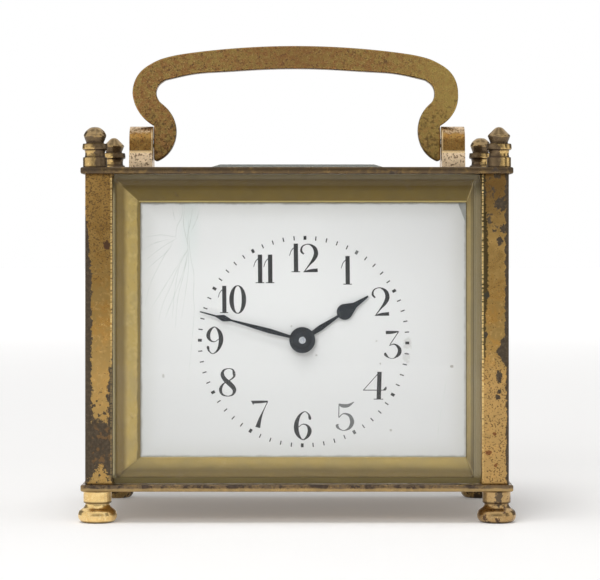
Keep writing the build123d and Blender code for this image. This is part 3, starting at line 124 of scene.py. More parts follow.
def dress(piece, body, material, nodes=()):
    """Gives a piece its finish, its body, and the CAD nodes that it stands for."""
    piece.data.materials.append(material)
    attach(piece, body)
    if nodes:
        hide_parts(*nodes)
    print(f"{piece.name}: {len(piece.data.polygons)} faces on {body}")
    return piece


# %% Outlines
DOUBLED = 0.015


def round_corners(x, y, radius, per):
    """The four arcs of a rectangle with round corners, from the upper right one round to the left."""
    middles = [(x[1] - radius, y[1] - radius), (x[0] + radius, y[1] - radius),
               (x[0] + radius, y[0] + radius), (x[1] - radius, y[0] + radius)]
    return [arc(middle, radius, 90 * k, 90 * k + 90, per) for k, middle in enumerate(middles)]


def ordered(outline):
    """A closed outline without doubled points, counter-clockwise: its area, half the sum of
    x1 y2 - x2 y1, is made positive."""
    p = np.asarray(outline, float)
    p = p[np.linalg.norm(p - np.roll(p, 1, 0), axis=1) > DOUBLED]
    q = np.roll(p, -1, 0)
    return p if np.sum(p[:, 0] * q[:, 1] - q[:, 0] * p[:, 1]) > 0 else p[::-1]


def arc(centre, radius, start, end, count=24):
    """Points centre + radius (cos a, sin a), with a from start to end in degrees."""
    a = np.radians(np.linspace(start, end, count))
    return np.column_stack([centre[0] + radius * np.cos(a), centre[1] + radius * np.sin(a)])


def smooth_line(points, per=6):
    """A curve through the points: between b and c it is the cubic that leaves b along c - a and
    reaches c along d - b, where a and d are the points on either side (Catmull-Rom)."""
    p = np.asarray(points, float)
    p = np.vstack([2 * p[0] - p[1], p, 2 * p[-1] - p[-2]])
    a, b, c, d = p[:-3, None], p[1:-2, None], p[2:-1, None], p[3:, None]
    t = np.linspace(0, 1, per, endpoint=False)[None, :, None]
    square, cube = 2 * a - 5 * b + 4 * c - d, 3 * b - a - 3 * c + d
    curve = 2 * b + (c - a) * t + square * t**2 + cube * t**3
    return np.vstack([0.5 * curve.reshape(-1, p.shape[1]), p[-2]])


def eased(outline, radius, per=4):
    """Each corner b becomes the curve (1-t)^2 (b - r e) + 2 t (1-t) b + t^2 (b + r f), where e and f
    are the directions of its two edges and r is the radius, or less on a short edge."""
    b = ordered(outline)
    step = np.roll(b, -1, 0) - b
    length = np.linalg.norm(step, axis=1, keepdims=True)
    unit = step / length
    reach = np.minimum(radius, 0.45 * np.minimum(length, np.roll(length, 1, 0)))
    start, end = b - np.roll(unit, 1, 0) * reach, b + unit * reach
    t = np.linspace(0, 1, per)[None, :, None]
    curve = (1 - t)**2 * start[:, None] + 2 * t * (1 - t) * b[:, None] + t**2 * end[:, None]
    return curve.reshape(-1, 2)


# %% Lathe and plate
def lathe(profile, place, steps=72, upright=True):
    """The profile's point (r, h) goes round an axis: (x + r cos u, y + r sin u, z + h). With
    upright False the axis lies along Y and h runs towards the back."""
    p = np.asarray(profile, float)
    u = np.linspace(0, 2 * np.pi, steps, endpoint=False)
    r, h = p[:, :1], p[:, 1:2] + 0 * u
    turn = [r * np.cos(u), r * np.sin(u), h] if upright else [r * np.cos(u), h, r * np.sin(u)]
    points = np.stack(turn, -1).reshape(-1, 3) + np.asarray(place)
    return points, grid_faces(len(p), steps, ring=True)


def plate(outline, low, high, edge, axis="z", steps=4):
    """The outline is carried from low to high. Near each face it shrinks along its own corner
    normals, (n1 + n2) / (1 + n1 n2), by edge (1 - sin u) while it rises by edge (1 - cos u), so the
    rim is a quarter round. One more ring lies flat, and keeps the face's shading clean."""
    p = ordered(outline)
    step = np.roll(p, -1, 0) - p
    length = np.linalg.norm(step, axis=1, keepdims=True)
    out = np.column_stack([step[:, 1], -step[:, 0]]) / length
    before = np.roll(out, 1, 0)
    corner = (out + before) / np.maximum(1 + np.sum(out * before, 1, keepdims=True), 0.35)
    u = np.linspace(0, np.pi / 2, steps + 1)
    inset = np.concatenate([[1.25 * edge], edge * (1 - np.sin(u))])
    rise = np.concatenate([[0.0], edge * (1 - np.cos(u))])
    inset = np.concatenate([inset, inset[::-1]])[:, None, None]
    level = np.concatenate([low + rise, (high - rise)[::-1]])[:, None, None]
    ring = p[None] - inset * corner[None]
    points = np.concatenate([ring, level + 0 * ring[:, :, :1]], -1).reshape(-1, 3)
    order = {"z": [0, 1, 2], "y": [0, 2, 1], "x": [2, 0, 1]}[axis]
    rows, cols = len(inset), len(p)
    caps = [list(range(cols)), list(range((rows - 1) * cols, rows * cols))]
    return points[:, order], grid_faces(rows, cols, ring=True) + caps


# %% [markdown]
# ## Finishes
# Old gilding is a colour that wanders between warm and cool gold, brown oxide that eats in from the
# rims, and fine specks. Each of these is a node group, made once and used in every metal with its
# own values. All of them read Object coordinates, so the pattern sits in the metal.

# %% Node helper
def tint(red, green, blue):
    """A colour as the eye names it, 0 to 255, as the linear numbers that Blender wants."""
    c = np.array([red, green, blue]) / 255.0
    linear = np.where(c <= 0.04045, c / 12.92, ((c + 0.055) / 1.055) ** 2.4)
    return (*[float(v) for v in linear], 1.0)


class Net:
    """Adds nodes to one tree and joins them. Each method gives back an output socket."""

    def __init__(self, tree):
        self.tree = tree

    def join(self, value, socket):
        if isinstance(value, bpy.types.NodeSocket):
            self.tree.links.new(value, socket)
        else:
            socket.default_value = value

    def node(self, kind, inputs=None, **settings):
        made = self.tree.nodes.new("ShaderNode" + kind)
        for key, value in settings.items():
            setattr(made, key, value)
        for key, value in (inputs or {}).items():
            self.join(value, made.inputs[key])
        return made

    def maths(self, operation, value, *others):
        """The operation on a value and each of the others in turn."""
        for other in others or (0.0,):
            value = self.node("Math", {0: value, 1: other}, operation=operation).outputs[0]
        return value

    def times(self, *values):
        """Values multiplied. A product of masks is 1 only where all are 1."""
        return self.maths("MULTIPLY", *values)

    def plus(self, *values):
        return self.maths("ADD", *values)

    def minus(self, a, b):
        return self.maths("SUBTRACT", a, b)

    def most(self, *values):
        return self.maths("MAXIMUM", *values)

    def least(self, *values):
        return self.maths("MINIMUM", *values)

    def gap(self, value, middle=0.0):
        """How far a value is from a middle: |value - middle|."""
        return self.maths("ABSOLUTE", self.minus(value, middle))

    def scaled(self, place, factors):
        return self.node("VectorMath", {0: place, 1: factors}, operation="MULTIPLY").outputs[0]

    def noise(self, place, scale, detail=4.0, roughness=0.55, distortion=0.0):
        inputs = {"Vector": place, "Scale": scale, "Detail": detail, "Roughness": roughness,
                  "Distortion": distortion}
        return self.node("TexNoise", inputs).outputs["Fac"]

    def band(self, value, low, high):
        """0 below low, 1 above high, and a smooth step between. Low may be above high."""
        inputs = {"Value": value, "From Min": low, "From Max": high}
        return self.node("MapRange", inputs, interpolation_type="SMOOTHSTEP").outputs[0]

    def slide(self, value, low, high, start, end):
        """start at low, end at high, and a straight line between."""
        inputs = {"Value": value, "From Min": low, "From Max": high,
                  "To Min": start, "To Max": end}
        return self.node("MapRange", inputs).outputs[0]

    def mix(self, share, a, b):
        made = self.node("Mix", data_type="RGBA")
        for value, index in ((share, 0), (a, 6), (b, 7)):
            self.join(value, made.inputs[index])
        return made.outputs[2]

    def axes(self, place):
        return self.node("SeparateXYZ", {0: place}).outputs

    def group(self, tree, **inputs):
        made = self.tree.nodes.new("ShaderNodeGroup")
        made.node_tree = tree
        for key, value in inputs.items():
            self.join(value, made.inputs[key])
        return made.outputs


def new_group(name, inputs, outputs):
    """An empty node group with named sockets, its net, and its inputs and outputs from inside."""
    tree = bpy.data.node_groups.new(name, "ShaderNodeTree")
    for title, kind in inputs.items():
        tree.interface.new_socket(title, in_out="INPUT", socket_type="NodeSocket" + kind)
    for title, kind in outputs.items():
        tree.interface.new_socket(title, in_out="OUTPUT", socket_type="NodeSocket" + kind)
    start, end = tree.nodes.new("NodeGroupInput"), tree.nodes.new("NodeGroupOutput")
    return tree, Net(tree), start.outputs, end.inputs


# %% [markdown]
# ### Oxide, specks, mottle and rubbing
# `oxide_patches` is a cloud of noise cut at a level. The level follows Cover, so a plain number
# gives even patches and a ramp along the piece lets them crowd into one end. `fine_specks` is the
# same idea at a tenth of the size. `gilt_mottle` blends three golds, and `rubbed_metal` gives the
# roughness and the small height of metal that was handled for a century.

# %% The four shared groups
def oxide_group():
    sockets = {"Place": "Vector", "Size": "Float", "Cover": "Float"}
    tree, net, start, end = new_group("oxide_patches", sockets, {"Mask": "Float"})
    scale = net.maths("DIVIDE", 1.0, start["Size"])
    wide = net.noise(start["Place"], scale, 6.0, 0.66, 0.5)
    fine = net.noise(start["Place"], net.times(scale, 4.5), 3.0, 0.6)
    value = net.plus(net.times(wide, 0.72), net.times(fine, 0.28))
    level = net.slide(start["Cover"], 0.0, 1.0, 0.68, 0.32)
    net.join(net.band(net.minus(value, level), -0.03, 0.04), end["Mask"])
    return tree


def speck_group():
    sockets = {"Place": "Vector", "Size": "Float", "Amount": "Float"}
    tree, net, start, end = new_group("fine_specks", sockets, {"Mask": "Float"})
    grain = net.noise(start["Place"], net.maths("DIVIDE", 1.0, start["Size"]), 2.0, 0.5)
    level = net.slide(start["Amount"], 0.0, 1.0, 0.74, 0.46)
    net.join(net.band(net.minus(grain, level), 0.0, 0.09), end["Mask"])
    return tree


def mottle_group():
    sockets = {"Place": "Vector", "Size": "Float",
               "Warm": "Color", "Cool": "Color", "Pale": "Color"}
    tree, net, start, end = new_group("gilt_mottle", sockets, {"Colour": "Color"})
    scale = net.maths("DIVIDE", 1.0, start["Size"])
    drift = net.noise(start["Place"], scale, 5.0, 0.6, 0.3)
    glint = net.noise(start["Place"], net.times(scale, 3.1), 3.0, 0.65)
    base = net.mix(net.band(drift, 0.38, 0.62), start["Warm"], start["Cool"])
    net.join(net.mix(net.band(glint, 0.5, 0.74), base, start["Pale"]), end["Colour"])
    return tree


def rubbed_group():
    sockets = {"Place": "Vector", "Size": "Float", "Smooth": "Float", "Dull": "Float"}
    results = {"Roughness": "Float", "Height": "Float"}
    tree, net, start, end = new_group("rubbed_metal", sockets, results)
    scale = net.maths("DIVIDE", 1.0, start["Size"])
    smear = net.noise(start["Place"], scale, 5.0, 0.6, 0.4)
    net.join(net.slide(smear, 0.32, 0.68, start["Smooth"], start["Dull"]), end["Roughness"])
    dents = net.noise(start["Place"], net.times(scale, 0.8), 2.0, 0.5)
    grain = net.noise(start["Place"], net.times(scale, 9.0), 2.0, 0.6)
    net.join(net.plus(dents, net.times(grain, 0.16)), end["Height"])
    return tree


OXIDE, SPECKS, MOTTLE, RUBBED = oxide_group(), speck_group(), mottle_group(), rubbed_group()
print("groups:", [g.name for g in (OXIDE, SPECKS, MOTTLE, RUBBED)])


# %% [markdown]
# ### A material and its last steps
# Every metal ends in the same way: a Principled surface, a Bump node for the heights, and the
# colour, roughness and metal share from the groups. Oxide is less of a mirror than gilding, so its
# mask also lowers the metal share.

# %% Material helper
WHITE = (1.0, 1.0, 1.0, 1.0)
MILLIMETRES = (1000.0, 1000.0, 1000.0)
PATCH = 1.4


class Finish(Net):
    """A new material with its Principled surface, and its Object coordinates in millimetres."""

    def __init__(self, name):
        self.material = bpy.data.materials.new(name)
        self.material.use_nodes = True
        super().__init__(self.material.node_tree)
        self.surface = self.tree.nodes["Principled BSDF"]
        self.out = self.tree.nodes["Material Output"]
        self.place = self.scaled(self.node("TexCoord").outputs["Object"], MILLIMETRES)
        self.x, self.y, self.z = self.axes(self.place)

    def specks(self, size, amount):
        return self.group(SPECKS, Place=self.place, Size=size, Amount=amount)["Mask"]

    def oxide(self, size, cover):
        return self.group(OXIDE, Place=self.place, Size=size, Cover=cover)["Mask"]

    def ragged(self, value, scale, reach):
        """The value with noise added, up to 2 reach either way, so that a border isn't straight."""
        wave = self.minus(self.noise(self.place, scale, 5.0, 0.65), 0.5)
        return self.plus(value, self.times(wave, 4.0 * reach))

    def spot(self, x, z, wide, tall):
        """1 inside an oval about (x, z) seen from the front, with a ragged rim."""
        u = self.maths("DIVIDE", self.minus(self.x, x), wide)
        v = self.maths("DIVIDE", self.minus(self.z, z), tall)
        away = self.plus(self.times(u, u), self.times(v, v))
        return self.band(self.ragged(away, 1.3, 1.5), 1.2, 0.8)

    def below(self, value, limit, soft=0.1):
        """1 where a value is below its limit, with a short soft step."""
        return self.band(self.minus(value, limit), soft, -soft)

    def lay(self, colour, shade, mask, share=1.0):
        """A shade, named 0 to 255, laid over a colour where the mask is 1, as thick as its share."""
        return self.mix(self.times(mask, share), colour, tint(*shade))

    def emit(self, strength):
        """An even white glow in place of the surface."""
        light = self.node("Emission", {"Color": WHITE, "Strength": strength})
        self.join(light.outputs[0], self.out.inputs["Surface"])
        return self.material

    def plain(self, **values):
        for key, value in values.items():
            self.surface.inputs[key.replace("_", " ")].default_value = value

    def feed(self, colour=None, roughness=None, metal=None, height=None, depth=0.00003):
        values = {"Base Color": colour, "Roughness": roughness, "Metallic": metal}
        for key, value in values.items():
            if value is not None:
                self.join(value, self.surface.inputs[key])
        if height is not None:
            bump = self.node("Bump", {"Height": height, "Distance": depth, "Strength": 1.0})
            self.join(bump.outputs[0], self.surface.inputs["Normal"])
        return self.material


def worn_gilt(name, golds, dark, cover, size, specks, polish=(0.24, 0.42), depth=0.00004,
              under=None, over=None, stains=None, grain=0.42):
    """Gilding of three golds with dark oxide over a share of it. `cover` and `specks` are shares, or
    functions of the finish that give them. `stains` adds oxide at known places, and on the finials
    painted reflection and shade in the oxide's colour; `under` may change the gold, and `over` the
    end colour. A patch of oxide is PATCH times the size of the mottle."""
    f = Finish(name)
    cover = cover(f) if callable(cover) else cover
    specks = specks(f) if callable(specks) else specks
    warm, cool, pale = [tint(*gold) for gold in golds]
    gold = f.group(MOTTLE, Place=f.place, Size=size, Warm=warm, Cool=cool, Pale=pale)["Colour"]
    gold = under(f, gold) if under else gold
    oxide = f.oxide(size * PATCH, cover)
    oxide = f.most(oxide, stains(f)) if stains else oxide
    grit = f.specks(grain, specks)
    rub = f.group(RUBBED, Place=f.place, Size=size, Smooth=polish[0], Dull=polish[1])
    thick = tint(*dark)
    thin = tuple(1.6 * c for c in thick[:3]) + (1.0,)
    crust = f.mix(f.band(f.noise(f.place, 1.3, 5.0, 0.65), 0.42, 0.66), thick, thin)
    colour = f.mix(oxide, gold, crust)
    colour = f.lay(colour, (64, 42, 28), grit, 0.7)
    colour = over(f, colour) if over else colour
    dull = f.most(oxide, f.times(grit, 0.6))
    rough = f.plus(rub["Roughness"], f.times(dull, 0.16))
    metal = f.slide(dull, 0.0, 1.0, 1.0, 0.6)
    height = f.minus(rub["Height"], f.times(dull, 0.25))
    return f.feed(colour, rough, metal, height, depth)


# %% [markdown]
# ### The case's gildings
# The left columns went dark from below and along the outer edge, the right ones from the edges
# inwards, and the lowest third of the right ones kept its gold. The recipe is the same: only the
# place of the oxide changes, and that is read from the height and the side, in millimetres.

# %% Column finishes
COLUMN_GOLD = ((178, 136, 72), (164, 134, 80), (198, 162, 100))
# The second colour here is the front edge's, rubbed and with a painted highlight.
OXIDE_BROWN, EDGE_WEAR_AND_HIGHLIGHT = (74, 63, 49), (240, 208, 140)
RIGHT_BLOTS = [
    (44.2, 69.4, 1.3, 1.5), (44.9, 63.9, 0.9, 0.9), (44.0, 61.2, 0.7, 0.9), (43.9, 31.9, 0.65, 1.4),
    (43.9, 28.5, 0.4, 0.5), (43.6, 27.4, 0.55, 0.6), (41.2, 49.5, 0.6, 0.7), (41.0, 41.0, 0.45, 0.6)]
RIGHT_PITS = [(41.6, 15.3, 0.7, 0.6), (43.2, 12.6, 0.4, 0.4), (42.9, 19.4, 0.35, 0.45)]


def front_edge(f, side):
    """1 on the narrow rounding where a column's front face meets its inner face."""
    inner = f.band(f.times(f.x, side), 40.62, 40.42)
    return f.times(inner, f.band(f.y, -29.2, -29.6))


def near_front(f):
    """1 on a column's front face, and a little way round its corners."""
    return f.band(f.ragged(f.y, 0.7, 0.6), -26.6, -27.4)


def left_stains(f):
    """A dark rim outside that widens downwards, one inside in the lower half, holes that crowd
    towards the foot, and a dark stretch above it that leaves a triangle of gold at the bottom."""
    x = f.ragged(f.x, 0.8, 0.75)
    middle = f.gap(f.ragged(x, 2.2, 1.3), -42.7)
    pits = f.specks(0.6, 0.66)
    wedge = f.times(f.below(middle, f.slide(f.z, 14.2, 8.4, -0.6, 2.9)), f.minus(1.0, pits))
    bare = f.minus(1.0, wedge)
    outside = f.times(f.below(x, f.slide(f.z, 70.0, 54.0, -46.2, -44.6)), near_front(f))
    inside = f.below(f.times(x, -1.0), f.slide(f.z, 39.0, 30.0, 40.0, 41.0))
    inside = f.times(inside, f.band(f.z, 11.0, 13.0))
    stretch = f.below(f.ragged(f.z, 0.6, 1.6), 22.2, 0.5)
    holes = f.specks(1.1, f.slide(f.z, 40.0, 23.0, 0.05, 0.8))
    return f.times(f.most(outside, inside, stretch, holes), bare)


def right_stains(f):
    """A narrow dark rim outside with a bite in it at mid height, and blots at known places."""
    x = f.ragged(f.x, 0.8, 0.5)
    bite = f.least(f.slide(f.z, 41.2, 37.4, 0.0, 1.9), f.slide(f.z, 33.8, 37.0, 0.0, 1.9))
    limit = f.minus(f.slide(f.z, 42.0, 34.0, 45.15, 45.4), bite)
    outside = f.times(f.below(limit, x), near_front(f))
    return f.most(outside, *[f.spot(*blot) for blot in RIGHT_BLOTS])


def left_under(f, gold):
    """Browner gold towards the top, paler gold below the middle."""
    gold = f.lay(gold, (192, 150, 84), f.slide(f.z, 46.0, 68.0, 0.0, 0.7))
    return f.lay(gold, (186, 152, 94), f.slide(f.z, 44.0, 32.0, 0.0, 0.5))


def right_under(f, gold):
    """Brown at the top, bright gold below it, and bright pale gold in the lowest third."""
    bright = f.times(f.slide(f.z, 46.0, 60.0, 0.0, 0.8), f.band(f.z, 72.0, 65.0))
    gold = f.lay(gold, (208, 168, 100), bright)
    gold = f.lay(gold, (134, 102, 58), f.slide(f.z, 62.0, 72.0, 0.0, 0.75))
    return f.lay(gold, (190, 154, 98), f.slide(f.z, 38.0, 30.0, 0.0, 0.75))


def beaded_wear_and_highlight(side, low, high, then):
    """The rubbed front edge with a painted highlight on it: a bright line that breaks into beads and
    fades below `low`. `then` adds the side's own stains under it."""
    def over(f, colour):
        beads = f.band(f.noise(f.scaled(f.place, (0.4, 0.4, 2.4)), 1.0, 2.0, 0.5), 0.4, 0.54)
        line = f.times(front_edge(f, side), beads, f.slide(f.z, low, high, 0.2, 1.0))
        return f.lay(then(f, colour), EDGE_WEAR_AND_HIGHLIGHT, line)
    return over


def left_over(f, colour):
    """A purple blot near the top, and brown islands in the dark stretch above the foot."""
    colour = f.lay(colour, (84, 58, 56), f.spot(-41.3, 60.4, 0.8, 0.9), 0.8)
    stretch = f.times(f.band(f.z, 12.0, 14.0), f.band(f.z, 22.0, 20.0))
    islands = f.times(f.specks(1.3, 0.8), stretch, f.band(f.x, -44.9, -44.2))
    return f.lay(colour, (126, 94, 56), islands, 0.7)


def right_over(f, colour):
    """A green-black band beside the inner edge, and red-brown pits near the foot."""
    x = f.ragged(f.x, 1.6, 0.55)
    limit = f.least(f.slide(f.z, 71.0, 60.0, 40.9, 41.5), f.slide(f.z, 50.0, 45.0, 41.6, 40.9))
    band = f.times(f.below(x, limit), f.band(f.z, 33.0, 37.0), f.band(f.y, -26.5, -28.0))
    colour = f.lay(colour, (62, 58, 42), band, 0.85)
    pits = f.most(*[f.spot(*pit) for pit in RIGHT_PITS])
    return f.lay(colour, (112, 58, 36), pits, 0.75)


def left_specks(f):
    """Fine pits, thicker towards the top."""
    return f.slide(f.z, 46.0, 64.0, 0.22, 0.84)


def right_specks(f):
    """Fine pits everywhere, thicker in the lowest third."""
    return f.slide(f.z, 40.0, 32.0, 0.4, 0.66)


def right_cover(f):
    """More oxide towards the top."""
    return f.slide(f.z, 58.0, 72.0, 0.1, 0.34)


gilt_left = worn_gilt(
    "gilt_left_columns", COLUMN_GOLD, OXIDE_BROWN, 0.1, 2.6, left_specks, under=left_under,
    stains=left_stains, over=beaded_wear_and_highlight(-1, 34.0, 42.0, left_over), grain=0.36)
gilt_right = worn_gilt(
    "gilt_right_columns", COLUMN_GOLD, OXIDE_BROWN, right_cover, 2.6, right_specks, under=right_under,
    stains=right_stains, over=beaded_wear_and_highlight(1, 8.0, 36.0, right_over), grain=0.36)
print("column gildings made")

# %% Finishes of plates, handle, lugs and turned pieces
HANDLE_GOLD = ((168, 122, 74), (170, 142, 82), (216, 182, 120))
LUG_GOLD = ((172, 126, 66), (178, 138, 76), (196, 158, 92))
PLATE_GOLD = ((138, 115, 85), (121, 104, 84), (170, 141, 92))
TOP_GOLD = ((108, 90, 66), (96, 82, 66), (142, 116, 76))
TURNED_GOLD = ((246, 212, 146), (234, 198, 132), (252, 226, 166))
BRONZE = ((206, 172, 110), (182, 152, 102), (234, 202, 138))
TURNED_DEPTH = 0.000008
# Heights of dark rings: dirt in the grooves, and painted shade where pieces meet floor and plates.
FOOT_MARKS = [(4.34, 0.45), (6.9, 0.3), (0.0, 0.6)]
FINIAL_MARKS = [(77.4, 0.3), (79.6, 0.35), (81.08, 0.3), (82.55, 0.45)]


def handle_over(f, colour):
    """Olive on the right scroll, brown in the middle, pits that crowd towards the lobes, and a dark
    line round the rim, where |y| leaves the flat face."""
    colour = f.lay(colour, (194, 168, 94), f.slide(f.x, 20.0, 34.0, 0.0, 0.5))
    colour = f.lay(colour, (140, 98, 62), f.slide(f.gap(f.x), 16.0, 4.0, 0.0, 0.3))
    pits = f.specks(0.7, f.slide(f.z, 97.0, 86.0, 0.2, 0.85))
    colour = f.lay(colour, (84, 66, 44), pits, 0.5)
    rim = f.band(f.gap(f.y), 1.62, 1.4)
    return f.lay(colour, (72, 54, 38), rim, 0.55)


def base_edge_highlight(f, colour):
    """A painted highlight: the lower half of the base plate's edge is painted brighter."""
    bright = f.band(f.ragged(f.z, 0.5, 0.16), 7.75, 7.5)
    return f.lay(colour, (190, 160, 106), bright, 0.62)


def lug_over(f, colour):
    """Pale, pitted metal on the sloping foot and on the crown of the head, and two painted
    highlights: a bright step between them, and a bright arris beside the handle."""
    pits = f.specks(0.45, f.slide(f.z, 77.4, 81.5, 0.5, 0.85))
    pale = f.mix(f.times(pits, 0.8), tint(246, 218, 180), tint(112, 84, 60))
    crown = f.times(f.band(f.ragged(f.z, 0.9, 0.5), 85.6, 86.4), f.band(f.y, 0.6, -0.8))
    colour = f.mix(f.most(f.band(f.z, 81.75, 81.55), f.times(crown, 0.7)), colour, pale)
    # Painted highlights on the step and on the arris.
    step = f.times(f.band(f.z, 81.25, 81.4), f.band(f.z, 82.0, 81.85))
    arris = f.times(f.band(f.gap(f.x), 33.25, 33.1), f.band(f.z, 81.0, 82.0))
    return f.lay(colour, (244, 216, 166), f.most(step, arris), 0.85)


def foot_under(share, stain):
    """One foot's colour: the gold is pulled towards another colour, a browner one on the right front
    foot and a dark one on the rear feet, which is painted shade.
    """
    return lambda f, gold: f.mix(share, gold, tint(*stain))


def dirt_and_shade_rings(marks, share, then=None):
    """Old polish and dirt in the turned grooves, and painted shade where a piece meets the floor or a
    plate: dark near each (height, reach).
    """
    def over(f, colour):
        colour = then(f, colour) if then else colour
        for height, reach in marks:
            near = f.band(f.gap(f.z, height), reach, 0.2 * reach)
            colour = f.lay(colour, (58, 42, 28), near, share)
        return colour
    return over


def finial_painted_reflection(f):
    """Painted dark reflection on the inner half of stem and collar, and painted shade under the
    brim of the knop, laid in the oxide's colour.
    """
    wide = f.ragged(f.gap(f.x), 0.9, 0.6)
    inner = f.times(f.below(wide, 44.0, 0.2), f.band(f.z, 82.6, 82.2))
    brim = f.times(f.band(f.z, 82.4, 82.7), f.band(f.ragged(f.z, 0.9, 0.3), 84.3, 83.8))
    return f.times(f.most(inner, brim), 0.85)


def knop(f, colour):
    """A painted reflection: the top of the knop is laid grey bronze, and the stem below it keeps more
    gold.
    """
    top = f.band(f.ragged(f.z, 0.8, 0.25), 83.8, 84.2)
    return f.lay(colour, (122, 106, 90), top, 0.55)


def dark_grey_patch(f, colour):
    """A dark grey patch on one side of the right front foot's cylinder."""
    return f.lay(colour, (74, 66, 60), f.spot(43.7, 5.6, 0.85, 1.9), 0.85)


gilt_top = worn_gilt("gilt_top_plate", TOP_GOLD, (72, 61, 51), 0.3, 4.6, 0.4)
gilt_base = worn_gilt("gilt_base_plate", PLATE_GOLD, (70, 58, 48), 0.4, 3.0, 0.4, over=base_edge_highlight)
gilt_handle = worn_gilt(
    "gilt_handle", HANDLE_GOLD, (104, 76, 46), 0.3, 1.0, 0.6, (0.3, 0.46), over=handle_over)
gilt_lug = worn_gilt(
    "gilt_lugs", LUG_GOLD, (96, 64, 34), 0.26, 1.2, 0.66, (0.24, 0.38), over=lug_over, grain=0.34)
gilt_foot = worn_gilt(
    "gilt_front_left_foot", TURNED_GOLD, (150, 110, 64), 0.06, 2.6, 0.2, (0.2, 0.3), TURNED_DEPTH,
    over=dirt_and_shade_rings(FOOT_MARKS, 0.8))
brown_foot = worn_gilt(
    "gilt_front_right_foot", TURNED_GOLD, (88, 66, 48), 0.34, 2.6, 0.4, (0.16, 0.3), TURNED_DEPTH,
    under=foot_under(0.7, (150, 118, 82)), over=dirt_and_shade_rings(FOOT_MARKS, 0.8, dark_grey_patch))
# The rear feet painted dark: painted shade, with some oxide.
rear_foot_painted_shade = worn_gilt(
    "gilt_rear_feet", TURNED_GOLD, (60, 46, 28), 0.5, 2.6, 0.4, (0.2, 0.34), TURNED_DEPTH,
    under=foot_under(0.75, (104, 80, 44)))
gilt_finial = worn_gilt(
    "gilt_finials", BRONZE, (72, 58, 46), 0.22, 1.8, 0.36, (0.15, 0.24), TURNED_DEPTH,
    stains=finial_painted_reflection, over=dirt_and_shade_rings(FINIAL_MARKS, 0.75, knop))
gilt_door = worn_gilt("gilt_door", COLUMN_GOLD, OXIDE_BROWN, 0.26, 3.4, 0.4)
print("gildings made")


# %% [markdown]
# ### Dial mask, enamel, steel, movement brass and glass
# The mask is a stamped sheet with a paler, cleaner gilding. The dial is white enamel with a little
# staining. Blued steel is nearly black with a cold sheen. The movement keeps a brighter, grained
# brass, and the platform is silvered. Glass lets shadow rays through, so that the dial behind it
# is lit as it is behind a real pane.

# %% Other finishes
def brushed(name, colour, deep, direction, polish=(0.22, 0.34), metal=1.0, depth=0.0000015):
    """Metal with a fine grain: noise stretched along one direction, in colour, gloss and height."""
    f = Finish(name)
    grain = f.noise(f.scaled(f.place, direction), 1.0, 3.0, 0.5)
    cloud = f.noise(f.place, 0.12, 3.0, 0.5)
    shade = f.plus(f.times(grain, 0.4), f.times(cloud, 0.6))
    tone = f.mix(f.band(shade, 0.3, 0.7), tint(*deep), tint(*colour))
    rough = f.slide(grain, 0.3, 0.7, polish[0], polish[1])
    f.plain(Metallic=metal)
    return f.feed(tone, rough, None, grain, depth)


GLASS_STAIN = (0.975, 0.982, 0.978, 1.0)


def glass(name, bending):
    """Clear glass: full transmission, and see-through for shadow rays."""
    f = Finish(name)
    f.plain(Base_Color=GLASS_STAIN, Roughness=0.0, IOR=bending, Transmission_Weight=1.0)
    clear = f.node("BsdfTransparent", {"Color": GLASS_STAIN}).outputs[0]
    shadow = f.node("LightPath").outputs["Is Shadow Ray"]
    both = f.node("MixShader", {0: shadow, 1: f.surface.outputs[0], 2: clear})
    f.join(both.outputs[0], f.out.inputs["Surface"])
    return f.material


CENTRE = np.array([1.15, 39.525])
DIAL_MARKS = [
    (23.2, -1.0, 0.9, 1.3, 0.22), (23.0, -4.0, 0.8, 1.0, 0.2), (32.9, -5.84, 0.35, 0.3, 0.7),
    (19.5, -19.9, 0.25, 0.25, 0.5), (16.4, -0.3, 0.25, 0.2, 0.5), (17.2, -5.2, 0.2, 0.25, 0.5),
    (-2.4, 3.0, 0.25, 0.2, 0.4), (3.0, -3.4, 0.3, 0.2, 0.4), (-30.6, -8.0, 0.35, 0.45, 0.4)]
OPEN_X, OPEN_Z = (-34.52, 37.22), (13.7, 69.75)
BROW_X, BROW_Z = (-39.5, 38.73), (9.8, 74.45)


def enamel(name):
    """White enamel: cool white with painted shade that greys it a little to the right and
    downwards, a painted shadow of the mask along the edge of the opening, and marks at known places."""
    f = Finish(name)
    # Painted shade: greyer downwards and to the right.
    tone = f.mix(f.slide(f.z, 68.0, 26.0, 0.0, 0.95), tint(245, 245, 245), tint(218, 218, 218))
    tone = f.lay(tone, (217, 217, 218), f.slide(f.x, 2.0, 36.0, 0.0, 0.55))
    tone = f.lay(tone, (150, 140, 124), f.specks(0.5, 0.12), 0.1)
    near = f.band(f.gap(f.x, -23.6), 3.2, 0.4)
    tone = f.lay(tone, (222, 235, 231), f.times(near, f.slide(f.z, 52.0, 64.0, 0.0, 0.4)))
    inward = [f.minus((high - low) / 2, f.gap(value, (high + low) / 2))
              for value, (low, high) in ((f.x, OPEN_X), (f.z, OPEN_Z))]
    rim = f.ragged(f.least(*inward), 0.5, 0.2)
    # Painted shadow of the mask: faint within 5 mm of the opening, dark at its very edge.
    tone = f.lay(tone, (196, 196, 190), f.band(rim, 5.0, 0.0), 0.35)
    tone = f.lay(tone, (128, 120, 104), f.band(rim, 0.6, 0.0), 0.6)
    for x, z, wide, tall, share in DIAL_MARKS:
        mark = f.spot(CENTRE[0] + x, CENTRE[1] + z, wide, tall)
        tone = f.lay(tone, (132, 126, 112), mark, share)
    f.plain(IOR=1.5, Roughness=0.3)
    return f.feed(tone)


